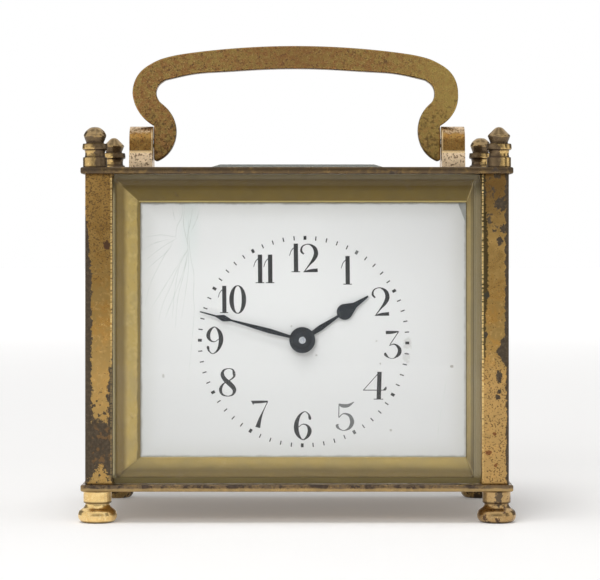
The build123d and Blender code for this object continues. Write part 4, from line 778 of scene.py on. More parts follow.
def blued(name):
    """Blued steel: blue-black with paler worn spots, smooth but not a mirror."""
    f = Finish(name)
    cloud = f.noise(f.place, 0.9, 4.0, 0.6)
    tone = f.mix(f.band(cloud, 0.35, 0.65), tint(26, 30, 36), tint(40, 46, 53))
    tone = f.lay(tone, (118, 122, 122), f.oxide(1.1, 0.16), 0.7)
    f.plain(Metallic=0.75)
    return f.feed(tone, f.slide(cloud, 0.3, 0.7, 0.26, 0.4), None, cloud, 0.00001)


MASK_GOLD = ((194, 167, 98), (186, 163, 104), (206, 181, 116))


def mask_painted_light(f, colour):
    """How far down the slope a point lies, 0 at the brow and 1 at the dial: the least of four
    distances, one from each side. All the colour laid here is painted light and shade: the flange
    painted grey as shade, painted shade on the outer slope, at the brow and along the lip, the top
    and bottom slopes painted darker, and painted highlights on the right slope and the top lip."""
    far = [f.maths("DIVIDE", f.minus(value, brow), opening - brow)
           for value, brows, openings in ((f.x, BROW_X, OPEN_X), (f.z, BROW_Z, OPEN_Z))
           for brow, opening in zip(brows, openings)]
    down = f.least(*far)
    soft = f.ragged(down, 0.3, 0.04)
    # Painted shade on the outer part of the slope, nearest the brow.
    colour = f.lay(colour, (124, 102, 58), f.band(soft, 0.5, 0.24), 0.85)

    def side(which, others):
        """1 on one of the four slopes: its own distance is less than those of its neighbours."""
        less = [f.below(far[which], far[k], 0.02) for k in others]
        return f.times(f.band(far[which], 1.02, 0.98), *less)

    base, top = side(2, (0, 1)), side(3, (0, 1))
    # A painted highlight on the right slope, and painted shade on the top and bottom slopes.
    colour = f.lay(colour, (226, 212, 168), side(1, (2, 3)), 0.22)
    colour = f.lay(colour, (84, 67, 24), top, f.slide(soft, 0.1, 0.9, 0.9, 0.76))
    colour = f.lay(colour, (94, 80, 48), base, f.slide(soft, 0.15, 0.7, 0.9, 0.6))
    # Painted shade along the lip, less on the bottom slope.
    lip = f.times(f.band(soft, 0.84, 0.9), f.slide(base, 0.0, 1.0, 0.75, 0.2))
    colour = f.lay(colour, (110, 92, 48), lip)
    # A painted highlight line on the top slope, just above the lip.
    line = f.times(top, f.band(down, 0.9, 0.93), f.band(down, 0.99, 0.96))
    colour = f.lay(colour, (204, 186, 124), line, 0.8)
    # The flange painted grey as shade: darker on the right, at the top and at the bottom.
    grey = f.mix(f.band(f.x, -10.0, 10.0), tint(186, 171, 131), tint(152, 138, 105))
    grey = f.lay(grey, (104, 92, 66), f.band(f.z, 70.0, 74.0))
    grey = f.lay(grey, (132, 116, 72), f.band(f.z, 10.4, 9.4))
    colour = f.mix(f.band(down, 0.02, -0.03), colour, grey)
    # A line of painted shade along the brow.
    brow = f.times(f.band(down, -0.08, -0.02), f.band(down, 0.1, 0.02))
    return f.lay(colour, (80, 66, 40), brow, 0.6)


gilt_mask = worn_gilt(
    "gilt_mask", MASK_GOLD, (140, 116, 72), 0.14, 4.0, 0.26, (0.3, 0.44), 0.00003, over=mask_painted_light)
dial_enamel, hand_steel = enamel("white_enamel"), blued("blued_steel")
clear_glass, pane_glass = glass("clear_glass", 1.31), glass("clear_top_glass", 1.15)
BRUSHED = {
    "polished_steel": ((200, 204, 208), (184, 188, 194), (5.0, 12.0, 5.0), (0.2, 0.28)),
    "spring_steel": ((150, 158, 172), (118, 124, 138), (0.6, 8.0, 0.6)),
    "copper_feet": ((206, 128, 92), (176, 100, 68), (2.0, 8.0, 2.0), (0.24, 0.4)),
    "movement_brass": ((226, 190, 116), (206, 166, 94), (0.35, 0.35, 7.0), (0.28, 0.4), 0.9),
    "silvered_platform": ((228, 222, 206), (210, 204, 188), (6.0, 0.4, 0.4), (0.26, 0.38), 0.9),
    "balance_brass": ((236, 196, 112), (218, 176, 96), (2.0, 2.0, 9.0))}
SLOT_FINISH = {slot: brushed(slot, *recipe) for slot, recipe in BRUSHED.items()}
arbor_steel = SLOT_FINISH["polished_steel"]
print("other finishes made")


# %% [markdown]
# ## Base plate and top plate
# Both plates are rolled brass, a millimetre and a half thick, with softly rounded rims that have
# been knocked for a century. A plate is its outline carried upwards with a quarter-round edge. The
# outline gets a small wander, a few hundredths of a millimetre, so that the rim isn't ruled.

# %% Plates
PLATE_ROUND, PLATE_EDGE = 0.8, 0.4
CORNERS = ("front_left", "front_right", "rear_left", "rear_right")


def box_outline(low, high, radius, per=8, gap=1.5):
    """A rectangle with round corners, its sides cut into steps of about `gap`."""
    turns = round_corners((low[0], high[0]), (low[1], high[1]), radius, per)
    sides = []
    for turn, following in zip(turns, turns[1:] + turns[:1]):
        count = max(int(np.linalg.norm(following[0] - turn[-1]) / gap), 2)
        share = np.linspace(0, 1, count, endpoint=False)[1:, None]
        sides += [turn, turn[-1] * (1 - share) + following[0] * share]
    return np.vstack(sides)


def box_corners(low, high, inset):
    """The four corners of a box seen from above, moved in by `inset`."""
    x0, y0, x1, y1 = low[0] + inset, low[1] + inset, high[0] - inset, high[1] - inset
    return np.array([(x0, y0), (x1, y0), (x1, y1), (x0, y1)])


def wander(outline, amount):
    """Moves an outline inwards by amount (2 + sin a + sin b) / 4, two slow waves round the rim."""
    s = np.linspace(0, 2 * np.pi, len(outline), endpoint=False)
    wave = amount * (2 + np.sin(17 * s + 0.7) + np.sin(41 * s + 2.1)) / 4
    middle = outline.mean(0)
    return outline - np.sign(outline - middle) * wave[:, None]


low, high = span("base_plate")
rim = wander(box_outline(low, high, PLATE_ROUND), 0.07)
base_shape = plate(rim, low[2], high[2], PLATE_EDGE)
dress(make("base_plate_rim", base_shape), "case", gilt_base, ["base_plate"])


def framed(rim, hole, low, high):
    """A plate with a window: rings of the rim from below to above, with the quarter rounds of
    `plate`, then the window's rings back down. Both outlines are read at the same shares of a turn,
    so their points pair up."""
    def by_turn(outline):
        a = np.unwrap(np.arctan2(outline[:, 1], outline[:, 0])) % (2 * np.pi)
        keep = np.argsort(a)
        return outline[keep], a[keep]

    def read(line, at):
        return np.column_stack([np.interp(turn, at, line[:, k], period=2 * np.pi) for k in (0, 1)])

    outer, outer_turn = by_turn(rim)
    inner, inner_turn = by_turn(hole)
    turn = np.unique(np.concatenate([outer_turn, inner_turn]))
    out, into = read(outer, outer_turn), read(inner, inner_turn)
    toward = -np.sign(out) * (np.abs(out) > np.abs(out).max(0) - 1.0)
    u = np.linspace(0, np.pi / 2, 5)
    inset, rise = PLATE_EDGE * (1 - np.sin(u)), PLATE_EDGE * (1 - np.cos(u))
    rings = [at_height(out + toward * i, low + r) for i, r in zip(inset, rise)]
    rings += [at_height(out + toward * i, high - r) for i, r in zip(inset[::-1], rise[::-1])]
    rings += [at_height(into, z) for z in (high, low)]
    return np.vstack(rings), grid_faces(len(rings), len(turn), ring=True, closed=True)


low, high = span("top_plate")
pane_low, pane_high = span("top_glass")
rim = wander(box_outline(low, high, PLATE_ROUND), 0.05)
hole = box_outline(pane_low - 0.05, pane_high + 0.05, 0.3)
top_shape = framed(rim, hole, low[2], high[2])
dress(make("top_plate_rim", top_shape), "case", gilt_top, ["top_plate"])


# %% [markdown]
# ## Four square columns
# Each column is a drawn brass bar with milled grooves that hold the glasses. The outline of its
# section, grooves included, is carried from plate to plate. Its corners are eased by a fifth of a
# millimetre, because that thin rounding is what catches the light along the edge.

# %% Columns
GROOVE = (1.975, 3.75, 1.1)
COLUMN_EASE, COLUMN_EDGE = 0.22, 0.08


def column_section(node, front):
    """The bar's section: a square, a groove in its inner Y face, and in front one in its inner X
    face. u and v count inwards from the outer faces, so one list serves all four corners."""
    low, high = span(node)
    side = high[0] - low[0]
    a, b, deep = GROOVE
    in_u, in_v = ([side, side - deep, side - deep, side], [a, a, b, b]) if front else ([], [])
    u = [0, side, *in_u, side, b, b, a, a, 0]
    v = [0, 0, *in_v, side, side, side - deep, side - deep, side, side]
    sx, sy = np.sign(low[0] + high[0]), np.sign(low[1] + high[1])
    outer = np.where([sx > 0, sy > 0], high[:2], low[:2])
    return eased(outer - np.column_stack([u, v]) * [sx, sy], COLUMN_EASE), low[2], high[2]


for corner in CORNERS:
    section, foot, head = column_section("column_" + corner, corner.startswith("front"))
    bar = make("column_bar_" + corner, plate(section, foot, head, COLUMN_EDGE, steps=2))
    gilding = gilt_left if "left" in corner else gilt_right
    dress(bar, "case", gilding, ["column_" + corner])


# %% [markdown]
# ## Feet and finials
# Both are lathe work, so each is one profile turned round its axis. The two front finials differ:
# the left one is worn to a dome and the right one still has its cone.

# %% Turned feet and finials
def profile(*runs):
    """Runs of (radius, height) points with a crisp corner between them. A run of three or more
    points is a smooth curve. A straight run gets a point close to each end, so that it is shaded
    straight."""
    def straight(a, b):
        near = min(0.04 / np.linalg.norm(b - a), 0.3)
        return a + (b - a) * np.array([[0.0], [near], [1 - near], [1.0]])

    return np.vstack([smooth_line(run) if len(run) > 2 else straight(*np.array(run, float))
                      for run in runs])


FOOT = profile(
    [(0, 0), (3.1, 0)],
    [(3.1, 0), (3.5, 0.14), (3.95, 0.6), (4.18, 1.05), (4.25, 1.6), (4.18, 2.0), (3.98, 2.5),
     (3.6, 2.85), (3.1, 3.2), (2.78, 3.6), (2.66, 3.95), (2.68, 4.3)],
    [(2.68, 4.3), (2.95, 4.3)], [(2.95, 4.3), (3.03, 4.34), (3.06, 4.45)], [(3.06, 4.45), (3.06, 6.8)],
    [(3.06, 6.8), (2.96, 6.9)], [(2.96, 6.9), (0, 6.9)])
STEM = [[(0, 0), (2.62, 0)], [(2.62, 0), (2.62, 2.0)], [(2.62, 2.0), (2.55, 2.15), (2.3, 2.2)],
        [(2.3, 2.2), (2.2, 2.45), (2.15, 3.0), (2.3, 3.72)], [(2.3, 3.72), (2.62, 3.78)],
        [(2.62, 3.78), (2.74, 4.0), (2.75, 4.5), (2.66, 5.1)], [(2.66, 5.1), (1.95, 5.2)],
        [(1.95, 5.2), (1.95, 5.45), (2.2, 6.1), (2.45, 6.75)]]
CONE = profile(*STEM, [(2.45, 6.75), (2.34, 7.05), (1.5, 7.9), (0.9, 8.48), (0.45, 8.72), (0, 8.79)])
DOME = profile(*STEM, [(2.45, 6.75), (2.42, 7.1), (2.05, 7.8), (1.4, 8.4), (0.8, 8.7), (0, 8.79)])
FOOT_X, FOOT_Y, FINIAL_X, FINIAL_Y = 43.5, 27.5, 44.0, 28.0
FRONT_FEET = {"front_left": gilt_foot, "front_right": brown_foot}
plate_top = span("top_plate")[1][2]

for corner in CORNERS:
    sx, sy = (-1 if "left" in corner else 1), (-1 if "front" in corner else 1)
    foot = make("turned_foot_" + corner, lathe(FOOT, (sx * FOOT_X, sy * FOOT_Y, 0.0)), 50)
    dress(foot, "case", FRONT_FEET.get(corner, rear_foot_painted_shade), ["foot_" + corner])
    crest = DOME if corner in ("front_left", "rear_right") else CONE
    turned = lathe(crest, (sx * FINIAL_X, sy * FINIAL_Y, plate_top))
    finial = make("turned_finial_" + corner, turned, 50)
    dress(finial, "case", gilt_finial, ["finial_" + corner])


# %% [markdown]
# ## Handle and lugs
# The handle is a flat bail, sawn and filed from plate, with a scroll at each end that sits on a
# pivot pin. Its outline is made of arcs that touch: crown, scroll, lobe. The lugs are a section in
# Y and Z carried sideways: sloping foot, a small step, a straight waist and a round head.

# %% Handle
SCROLL, LOBE, END_X = (28.8, 95.1), (35.602, 86.455), 32.7
LOBE_RADIUS, TIP_RADIUS, OUTER_RADIUS, INNER_RADIUS = 8.0, 0.62, 8.4, 3.0
CROWN_TOP, CROWN_UNDER = 105.9, 100.75
BAIL_HALF, BAIL_EDGE = 1.65, 0.32


def tip_fillet():
    """The round between end face and lobe: its centre lies TIP_RADIUS from the face, and
    LOBE_RADIUS - TIP_RADIUS from the lobe's centre. Returns the centre and the angle at which it
    meets the lobe."""
    reach = LOBE[0] - END_X + TIP_RADIUS
    drop = math.sqrt((LOBE_RADIUS - TIP_RADIUS)**2 - reach**2)
    return (END_X - TIP_RADIUS, LOBE[1] - drop), math.degrees(math.atan2(drop, reach))


def crown(apex, radius):
    """The arc through the apex that touches a scroll circle: its centre's height, its radius, and
    the angle where they touch."""
    rise = apex - SCROLL[1]
    big = (SCROLL[0]**2 + rise**2 - radius**2) / (2 * (rise - radius))
    return apex - big, big, math.degrees(math.atan2(SCROLL[1] - apex + big, SCROLL[0]))


def bail_outline():
    """Right half from the crown's top, round the scroll and lobe and back under, then its mirror."""
    mid, big, touch = crown(CROWN_TOP, OUTER_RADIUS)
    under, small, meet = crown(CROWN_UNDER, INNER_RADIUS)
    cut = math.degrees(math.acos((END_X - SCROLL[0]) / OUTER_RADIUS))
    tip, turn = tip_fillet()
    half = np.vstack([
        arc((0, mid), big, 90, touch, 40), arc(SCROLL, OUTER_RADIUS, touch, -cut, 40),
        arc(tip, TIP_RADIUS, 0, turn - 180, 12), arc(LOBE, LOBE_RADIUS, 179 + turn, 128.2, 30),
        arc(SCROLL, INNER_RADIUS, -51.8, meet, 24), arc((0, under), small, meet, 90, 40)])
    return np.vstack([half, (half * [-1, 1])[::-1]])


def filed(outline):
    """The maker's file: shoulders a little lower outside, the crown a little higher inside, the
    tips a little shorter, and the whole bar bent to the left by up to 0.4 mm above the pivots."""
    x, z = outline[:, 0], outline[:, 1]
    a = np.degrees(np.arctan2(z - SCROLL[1], np.abs(x) - SCROLL[0]))
    middle = 103.3 - 2.5 * (x / SCROLL[0])**2
    far = np.hypot(np.abs(x) - SCROLL[0], z - SCROLL[1]) > 6.0
    outside = np.where(np.abs(x) < SCROLL[0], z > middle, far) & (a > 0)
    shoulder = np.where(outside, 0.5 * np.exp(-((a - 62) / 26)**2), 0)
    under = np.where(~outside & (np.abs(x) < 30), 0.45 * np.exp(-((np.abs(x) - 23) / 6)**2), 0)
    under = under * np.clip((z - 95.5) / 2.5, 0, 1)
    lean = 0.42 * np.clip((z - 85) / 10, 0, 1)**2
    tips = 0.25 * np.clip((83 - z) / 3.5, 0, None)**2
    turn = np.radians(a)
    new_x = x - np.sign(x) * shoulder * np.cos(turn) - lean
    return np.column_stack([new_x, z - shoulder * np.sin(turn) + under + tips])


bail_shape = plate(filed(bail_outline()), -BAIL_HALF, BAIL_HALF, BAIL_EDGE, "y")
bail = make("bail_handle", bail_shape)
dress(bail, "handle_body", gilt_handle, ["handle"])

# %% Lugs
LUG_RADIUS, LUG_PIVOT, LUG_STEP, LUG_FOOT = 3.8, 83.75, 81.6, 77.35
LUG_EASE, LUG_EDGE = 0.3, 0.1
LUG_X = {"left": (-38.2, -32.9), "right": (32.9, 38.2)}
LUG_SIDE = np.vstack([
    [(5.0, LUG_FOOT), (4.2, LUG_STEP), (LUG_RADIUS, LUG_STEP)],
    arc((0, LUG_PIVOT), LUG_RADIUS, 0, 180, 30),
    [(-LUG_RADIUS, LUG_STEP), (-4.2, LUG_STEP), (-5.0, LUG_FOOT)]])
for side, (start, end) in LUG_X.items():
    lug = make("lug_" + side, plate(eased(LUG_SIDE, LUG_EASE), start, end, LUG_EDGE, "x"))
    dress(lug, "case", gilt_lug, ["handle_lug_" + side])


# %% [markdown]
# ## Dial mask
# A gilt sheet fills the space between the columns and slopes back to the dial. Its section goes
# flange, brow, slope, lip. Each step is one rounded rectangle, and the rings are joined in order.

# %% Mask
def box_ring(x, z, y, radius, per=6):
    """A rounded rectangle standing at depth y, always with the same number of points."""
    return at_depth(np.vstack(round_corners(x, z, radius, per)), y)


mask_low, mask_high = span("dial_mask")
front, lip = mask_low[1], -21.78


def between(share, y, radius, grow=0.0):
    """A ring part of the way from the brow (0) to the opening (1)."""
    x = [b + (o - b) * share + g for b, o, g in zip(BROW_X, OPEN_X, (-grow, grow))]
    z = [b + (o - b) * share + g for b, o, g in zip(BROW_Z, OPEN_Z, (-grow, grow))]
    return box_ring(x, z, y, radius)


edge_x, edge_z = (mask_low[0], mask_high[0]), (mask_low[2], mask_high[2])
slope = lip - front
rings = [
    box_ring(edge_x, edge_z, front + 0.6, 0.3), box_ring(edge_x, edge_z, front, 0.3),
    between(-0.14, front, 0.6), between(0.0, front + 0.06, 0.7), between(0.1, front + 0.3, 0.7),
    between(0.5, front + 0.5 * slope, 0.6), between(0.9, front + 0.9 * slope, 0.4),
    between(1.0, lip + 0.02, 0.3), between(1.0, lip + 0.6, 0.3), between(1.0, lip + 0.6, 0.4, 0.7),
    between(0.0, front + 0.6, 0.7, 0.3)]
shape = (np.vstack(rings), grid_faces(len(rings), len(rings[0]), ring=True, closed=True))
dress(make("mask_sheet", shape, 20), "case", gilt_mask, ["dial_mask"])


# %% [markdown]
# ## Numerals and minute track
# The dial is printed, not engraved, so numerals and ticks are flat ribbons that lie a few
# micrometres in front of the enamel. A numeral is a pen stroke: a smooth line whose width swells
# on the downstrokes and thins to a hairline, as type of that age does.

# %% Strokes
DIAL_FACE = float(span("dial")[0][1])


def ribbon(points, lift, per=9):
    """A pen stroke of (x, z, width) points: the smooth line through them, moved half its width to
    each side along its own normal, standing `lift` in front of the dial and facing forwards."""
    line = smooth_line(points, per) if len(points) > 2 else np.asarray(points, float)
    way = np.gradient(line[:, :2], axis=0)
    length = np.linalg.norm(way, axis=1, keepdims=True) + 1e-9
    normal = np.column_stack([-way[:, 1], way[:, 0]]) / length
    half = line[:, 2:3] / 2
    sides = np.stack([line[:, :2] + normal * half, line[:, :2] - normal * half], 1).reshape(-1, 2)
    faces = [face[::-1] for face in grid_faces(len(line), 2)]
    return at_depth(sides, DIAL_FACE - lift), faces


u = np.linspace(0, 2 * np.pi, 33)
ROUND = np.column_stack([
    29.7 + 21.8 * np.cos(u), 50 + 48.5 * np.sin(u), 3 + 12.8 * np.abs(np.cos(u))**1.5])
SIX = [(57.1, 70, 3.8), (54.7, 74.7, 9.5), (50.5, 88.1, 5.2), (36.7, 97.1, 2.9), (18.6, 82.3, 8.6),
       (8.6, 52.4, 15.7), (12.4, 23.3, 13.8), (30, 2.4, 3.3), (47.6, 14.3, 10.5), (53.8, 33.3, 13.8),
       (46.2, 49.5, 7.1), (31, 54.7, 2.9), (15.2, 44.3, 2.4)]
STROKES = {
    "0": [ROUND.tolist()],
    "1": [[(23.9, 1, 15), (23, 99, 15)], [(15.6, 84.4, 3), (7.3, 74.6, 2.6), (1, 56.6, 2.2)],
          [(8, 1.4, 3), (38, 1.4, 3)]],
    "2": [[(13.1, 63.6, 4.9), (4.4, 75.2, 7.3), (9.7, 91.7, 4.4), (30.1, 98, 3.4), (49.5, 85.9, 11.7),
           (55.3, 65.5, 15), (47.6, 46.1, 12.1), (31.6, 25.7, 5.3), (14.6, 3.4, 2.9)],
          [(11.7, 2.4, 2.4), (34, 6.3, 9.7), (61.2, 8.3, 12.6)]],
    "3": [[(6, 93, 12), (30, 94, 10), (52, 96.5, 4)], [(52, 96.5, 3), (21, 50, 3)],
          [(18, 46.5, 2.5), (37.5, 51.5, 4.5), (54, 36.5, 12), (53, 17.5, 13), (35, 2, 3),
           (17.5, 3.5, 3), (5, 15, 10), (6, 21.5, 4)]],
    "4": [[(60.5, 98.5, 15.5), (57.5, 1, 15.5)], [(54.5, 91.5, 2.5), (4, 34.5, 2.5)],
          [(1.5, 33.5, 3), (82.5, 33.5, 3)], [(72.5, 33, 2), (81, 38, 8), (84, 46, 2.5)],
          [(39.5, 1.5, 3), (73.5, 1.5, 3)]],
    "5": [[(9.9, 90.2, 4), (22, 84.1, 12), (40.9, 85, 10.5), (60.6, 96.8, 2)],
          [(10.3, 89.3, 3.3), (9.4, 46, 3.3)],
          [(9.4, 44.2, 3), (24.4, 57.3, 3.8), (45, 51.7, 9.4), (54, 31, 14), (46, 10.8, 9.4),
           (26.8, 1.4, 2.8), (10.3, 7.5, 5.6), (4.2, 16.9, 10.3), (8, 22.5, 2.8)]],
    "6": [SIX],
    "7": [[(2, 91, 18), (7, 93, 11), (31.3, 94, 10), (58.6, 95.4, 6)],
          [(57.6, 94, 3), (42.4, 62, 4), (31.3, 34.3, 10), (22.2, 2, 18)]],
    "8": [[(54.2, 81.1, 11), (49.3, 94.5, 5), (33.8, 98.5, 3), (17.4, 92, 7), (12.9, 76.1, 13),
           (23.4, 58.2, 15), (40.3, 43.3, 17), (54.7, 25.4, 14), (50.2, 7.5, 7), (32.3, 1, 3),
           (12.4, 7.5, 7), (6.5, 26.4, 11), (18.4, 46.3, 5), (40.3, 58.2, 4), (53.7, 70.1, 7),
           (54.2, 81.1, 11)]],
    "9": [[(61.4 - x, 100 - z, w) for x, z, w in SIX]]}

# %% Numerals
NUMERALS = [
    ("1", 8.51, 12.18, 6.36), ("2", 15.23, 5.20, 6.39), ("3", 18.02, -4.16, 6.20),
    ("4", 13.28, -13.16, 6.20), ("5", 7.42, -20.07, 6.60), ("6", -1.88, -22.15, 6.51),
    ("7", -11.18, -19.45, 6.14), ("8", -18.40, -12.47, 6.23), ("9", -21.19, -3.23, 6.20),
    ("1", -18.60, 5.91, 6.05), ("0", -16.08, 5.76, 6.26), ("1", -10.79, 12.49, 6.36),
    ("1", -8.56, 12.49, 6.36), ("1", -2.89, 14.91, 6.36), ("2", -0.51, 14.81, 6.39)]
PRINT_LIFT, LIFT_STEP = 0.006, 0.0006
shapes = []
for digit, x, z, tall in NUMERALS:
    for stroke in STROKES[digit]:
        at = np.asarray(stroke) * (tall / 100) + [CENTRE[0] + x, CENTRE[1] + z, 0]
        shapes.append(ribbon(at, PRINT_LIFT + LIFT_STEP * (len(shapes) % 5)))
print("numerals:", len(shapes), "strokes")

# %% Minute track
TRACK, TRACK_RADIUS, TRACK_TURN = CENTRE + [0.29, -0.39], 22.86, 0.75
HOUR_TICK, MINUTE_TICK = (0.87, 0.62), (0.93, 0.25)
turn = np.radians(6.0 * np.arange(60) + TRACK_TURN)
for step, a in enumerate(turn):
    way = np.array([np.sin(a), np.cos(a)])
    long, wide = HOUR_TICK if step % 5 == 0 else MINUTE_TICK
    ends = TRACK + np.outer([TRACK_RADIUS - long / 2, TRACK_RADIUS + long / 2], way)
    shapes.append(ribbon(np.column_stack([ends, [wide, wide]]), PRINT_LIFT))


def printing_ink(name):
    """Black print: near black, worn thin in specks, and faded to grey round the five and the one."""
    f = Finish(name)
    worn = f.oxide(0.9, 0.12)

    def near(x, z, reach):
        spot = f.node("CombineXYZ", {0: CENTRE[0] + x, 1: DIAL_FACE, 2: CENTRE[1] + z}).outputs[0]
        gap = f.node("VectorMath", {0: f.place, 1: spot}, operation="DISTANCE").outputs["Value"]
        return f.band(gap, reach, reach * 0.55)

    fade = f.most(near(9.5, -16.7, 6.2), near(12.2, 19.3, 1.6))
    tone = f.mix(f.times(worn, 0.35), tint(24, 24, 26), tint(150, 150, 146))
    tone = f.lay(tone, (120, 122, 122), fade, 0.7)
    return f.feed(tone, f.slide(worn, 0.0, 1.0, 0.42, 0.3))


numeral_ink = printing_ink("printing_ink")
dress(make("dial_print", joined(*shapes), outward=False), "case", numeral_ink)

# %% [markdown]
# ## Hairline cracks
# The enamel is crazed at the upper left and cracked at the lower right. Each crack is a very thin
# ribbon in a grey a little darker than the enamel, so it only shows up close.

# %% Cracks
CRACKS = [
    [(-26.25, 29.93), (-26.59, 27.06), (-27.6, 25.03), (-27.91, 22.63)],
    [(-25.91, 29.93), (-26.16, 25.7), (-25.74, 23.17), (-25.2, 20.46), (-25.66, 19.28),
     (-27.26, 17.25)],
    [(-25.07, 26.21), (-24.9, 21.14), (-24.52, 17.76), (-23.88, 14.37), (-23.97, 9.3), (-23.88, 4.9),
     (-25.4, -12.0)],
    [(-27.91, 22.63), (-31.15, 23.13), (-34.87, 22.58)],
    [(-29.46, 22.15), (-32.51, 21.31), (-35.04, 19.95)],
    [(-28.62, 21.81), (-29.46, 19.78), (-32.51, 17.08), (-35.21, 14.71)],
    [(-25.23, 20.12), (-25.91, 16.06), (-27.6, 11.33), (-29.46, 6.76), (-30.14, 4.9)],
    [(-26.59, 17.76), (-27.52, 14.37), (-28.28, 9.3), (-28.62, 4.9)],
    [(-25.07, 19.45), (-25.2, 14.37), (-26.59, 4.9)],
    [(-29.29, 20.46), (-30.65, 18.09), (-33.35, 12.68), (-34.7, 7.61)],
    [(-28.64, 29.45), (-28.4, 27.84), (-28.0, 26.23)],
    [(-24.2, 29.05), (-24.6, 26.23), (-25.26, 23.0), (-25.1, 20.2)],
    [(-22.6, 28.85), (-23.4, 26.2), (-24.6, 23.8)], [(-27.6, 22.4), (-30.6, 20.6), (-34.3, 17.8)],
    [(-25.2, 19.8), (-27.4, 15.8), (-29.0, 11.8), (-30.65, 8.1), (-31.85, 3.7)],
    [(-25.4, 19.4), (-28.6, 14.6), (-31.85, 9.3), (-33.9, 6.1)],
    [(-25.0, 19.8), (-26.1, 14.6), (-27.4, 9.3), (-28.0, 2.5)],
    [(32.21, -6.14), (31.32, -11.47), (30.63, -15.41), (29.94, -20.35), (29.55, -25.48)]]
CRACK_WIDTH, CRACK_END, CRACK_LIFT, CRACK_STEP = 0.1, 0.05, 0.003, 0.0002
shapes = []
for number, crack in enumerate(CRACKS):
    wide = np.full(len(crack), CRACK_WIDTH)
    wide[[0, -1]] = CRACK_END
    line = np.column_stack([np.asarray(crack) + CENTRE, wide])
    shapes.append(ribbon(line, CRACK_LIFT + CRACK_STEP * number))


def crack_grey(name):
    """The grey-green of dirt in a hairline, coming and going along the crack."""
    f = Finish(name)
    depth = f.noise(f.place, 0.6, 4.0, 0.6)
    tone = f.mix(f.band(depth, 0.35, 0.65), tint(221, 224, 221), tint(200, 206, 201))
    return f.feed(tone, f.slide(depth, 0.3, 0.7, 0.3, 0.5))


dirt = crack_grey("crack_dirt")
dress(make("dial_cracks", joined(*shapes), outward=False), "case", dirt)


# %% [markdown]
# ## Hands
# The hands are cut from thin steel and blued. Seen flat, a hand is a half width that changes along
# its length, and its two sides are mirror images, so one list of half widths makes the outline.

# %% Hands
HUB, HAND_EDGE, HOUR_LENGTH, MINUTE_LENGTH = 2.85, 0.05, 17.4, 23.4


def hand(length, knots, discs, degrees, low, high):
    """Half width w(s) along the hand is the greatest of the straight runs between knots (share of
    length, half width) and the discs sqrt(r^2 - (s - c)^2). The outline is turned clockwise."""
    s = np.concatenate([np.linspace(-HUB, HUB, 40), np.linspace(HUB + 0.01, length, 90)])
    share, half = np.array(knots).T
    w = np.where(s > share[0] * length, np.interp(s, share * length, half * length), 0.01)
    for centre, radius in discs:
        w = np.maximum(w, np.sqrt(np.maximum(radius**2 - (s - centre)**2, 0)))
    local = np.vstack([np.column_stack([w, s]), np.column_stack([-w, s])[::-1]])
    a = math.radians(degrees)
    turned = local @ np.array([[math.cos(a), -math.sin(a)], [math.sin(a), math.cos(a)]])
    return plate(turned + CENTRE, low, high, HAND_EDGE, "y", 2)


low, high = span("hour_hand")
hour_knots = [
    (0.132, 0.026), (0.276, 0.036), (0.552, 0.015), (0.684, 0.093), (0.799, 0.036), (1.0, 0.0115)]
hour_discs = [(0, HUB), (0.644 * HOUR_LENGTH, 0.101 * HOUR_LENGTH)]
hour = hand(HOUR_LENGTH, hour_knots, hour_discs, 56.5, low[1], high[1])
dress(make("hour_hand_blade", hour, 30), "hour_body", hand_steel, ["hour_hand"])

low, high = span("minute_hand")
minute_knots = [
    (0.098, 0.013), (0.32, 0.0235), (0.692, 0.0085), (0.769, 0.032), (0.842, 0.0085), (1.0, 0.006)]
minute = hand(MINUTE_LENGTH, minute_knots, [(0, HUB - 0.05)], 285.5, high[1] - 0.3, high[1])
BOSS = profile(
    [(0, 0.9), (2.85, 0.9)], [(2.85, 0.9), (2.85, 0.12)], [(2.85, 0.12), (2.8, 0.03), (2.7, 0)],
    [(2.7, 0), (1.95, 0)], [(1.95, 0), (1.88, 0.06), (1.78, 0.06), (1.7, 0)], [(1.7, 0), (0.72, 0.02)],
    [(0.72, 0.02), (0, 0.02)])
boss = lathe(BOSS, (CENTRE[0], low[1], CENTRE[1]), upright=False)
blade = make("minute_hand_blade", joined(minute, boss), 30)
dress(blade, "minute_arbor", hand_steel, ["minute_hand"])

# %% [markdown]
# ## Arbor end
# The tip of the centre arbor shows in the middle of the hands as a pale ring with a dark centre:
# it is turned steel with a small drilled dimple.

# %% Arbor end
tip = float(span("centre_arbor")[0][1])
CAP = profile([(0, 0.3), (0.78, 0.3)], [(0.78, 0.3), (0.78, 0.06), (0.7, 0)], [(0.7, 0), (0.36, 0)],
              [(0.36, 0), (0.3, 0.1), (0, 0.22)])
arbor_end = make("arbor_end", lathe(CAP, (CENTRE[0], tip - 0.12, CENTRE[1]), 40, False), 40)
dress(arbor_end, "minute_arbor", arbor_steel)


# %% [markdown]
# ## Chipped corner
# The enamel is broken off at the upper right, and the grey core of the dial shows. A thin plate
# stands in the gap a little behind the enamel's face.

# %% Dial core
dial_low, dial_high = span("dial")
CHIP = dial_high[[0, 2]] - [(4.05, 0.05), (0.05, 10.45), (0.05, 0.05)]
core_grey = brushed("dial_core", (186, 186, 180), (150, 150, 146), (0.8, 0.8, 0.8), (0.5, 0.7), 0.0)
core = make("dial_core", plate(CHIP, dial_low[1] + 0.25, dial_low[1] + 0.5, 0.03, "y", 1))
dress(core, "case", core_grey)


# %% [markdown]
# ## Door knob and screws
# The knob is one more turned profile, with its axis towards the back. A screw head is a disc with
# two half discs on it, and the gap between these is the slot that the screwdriver takes.

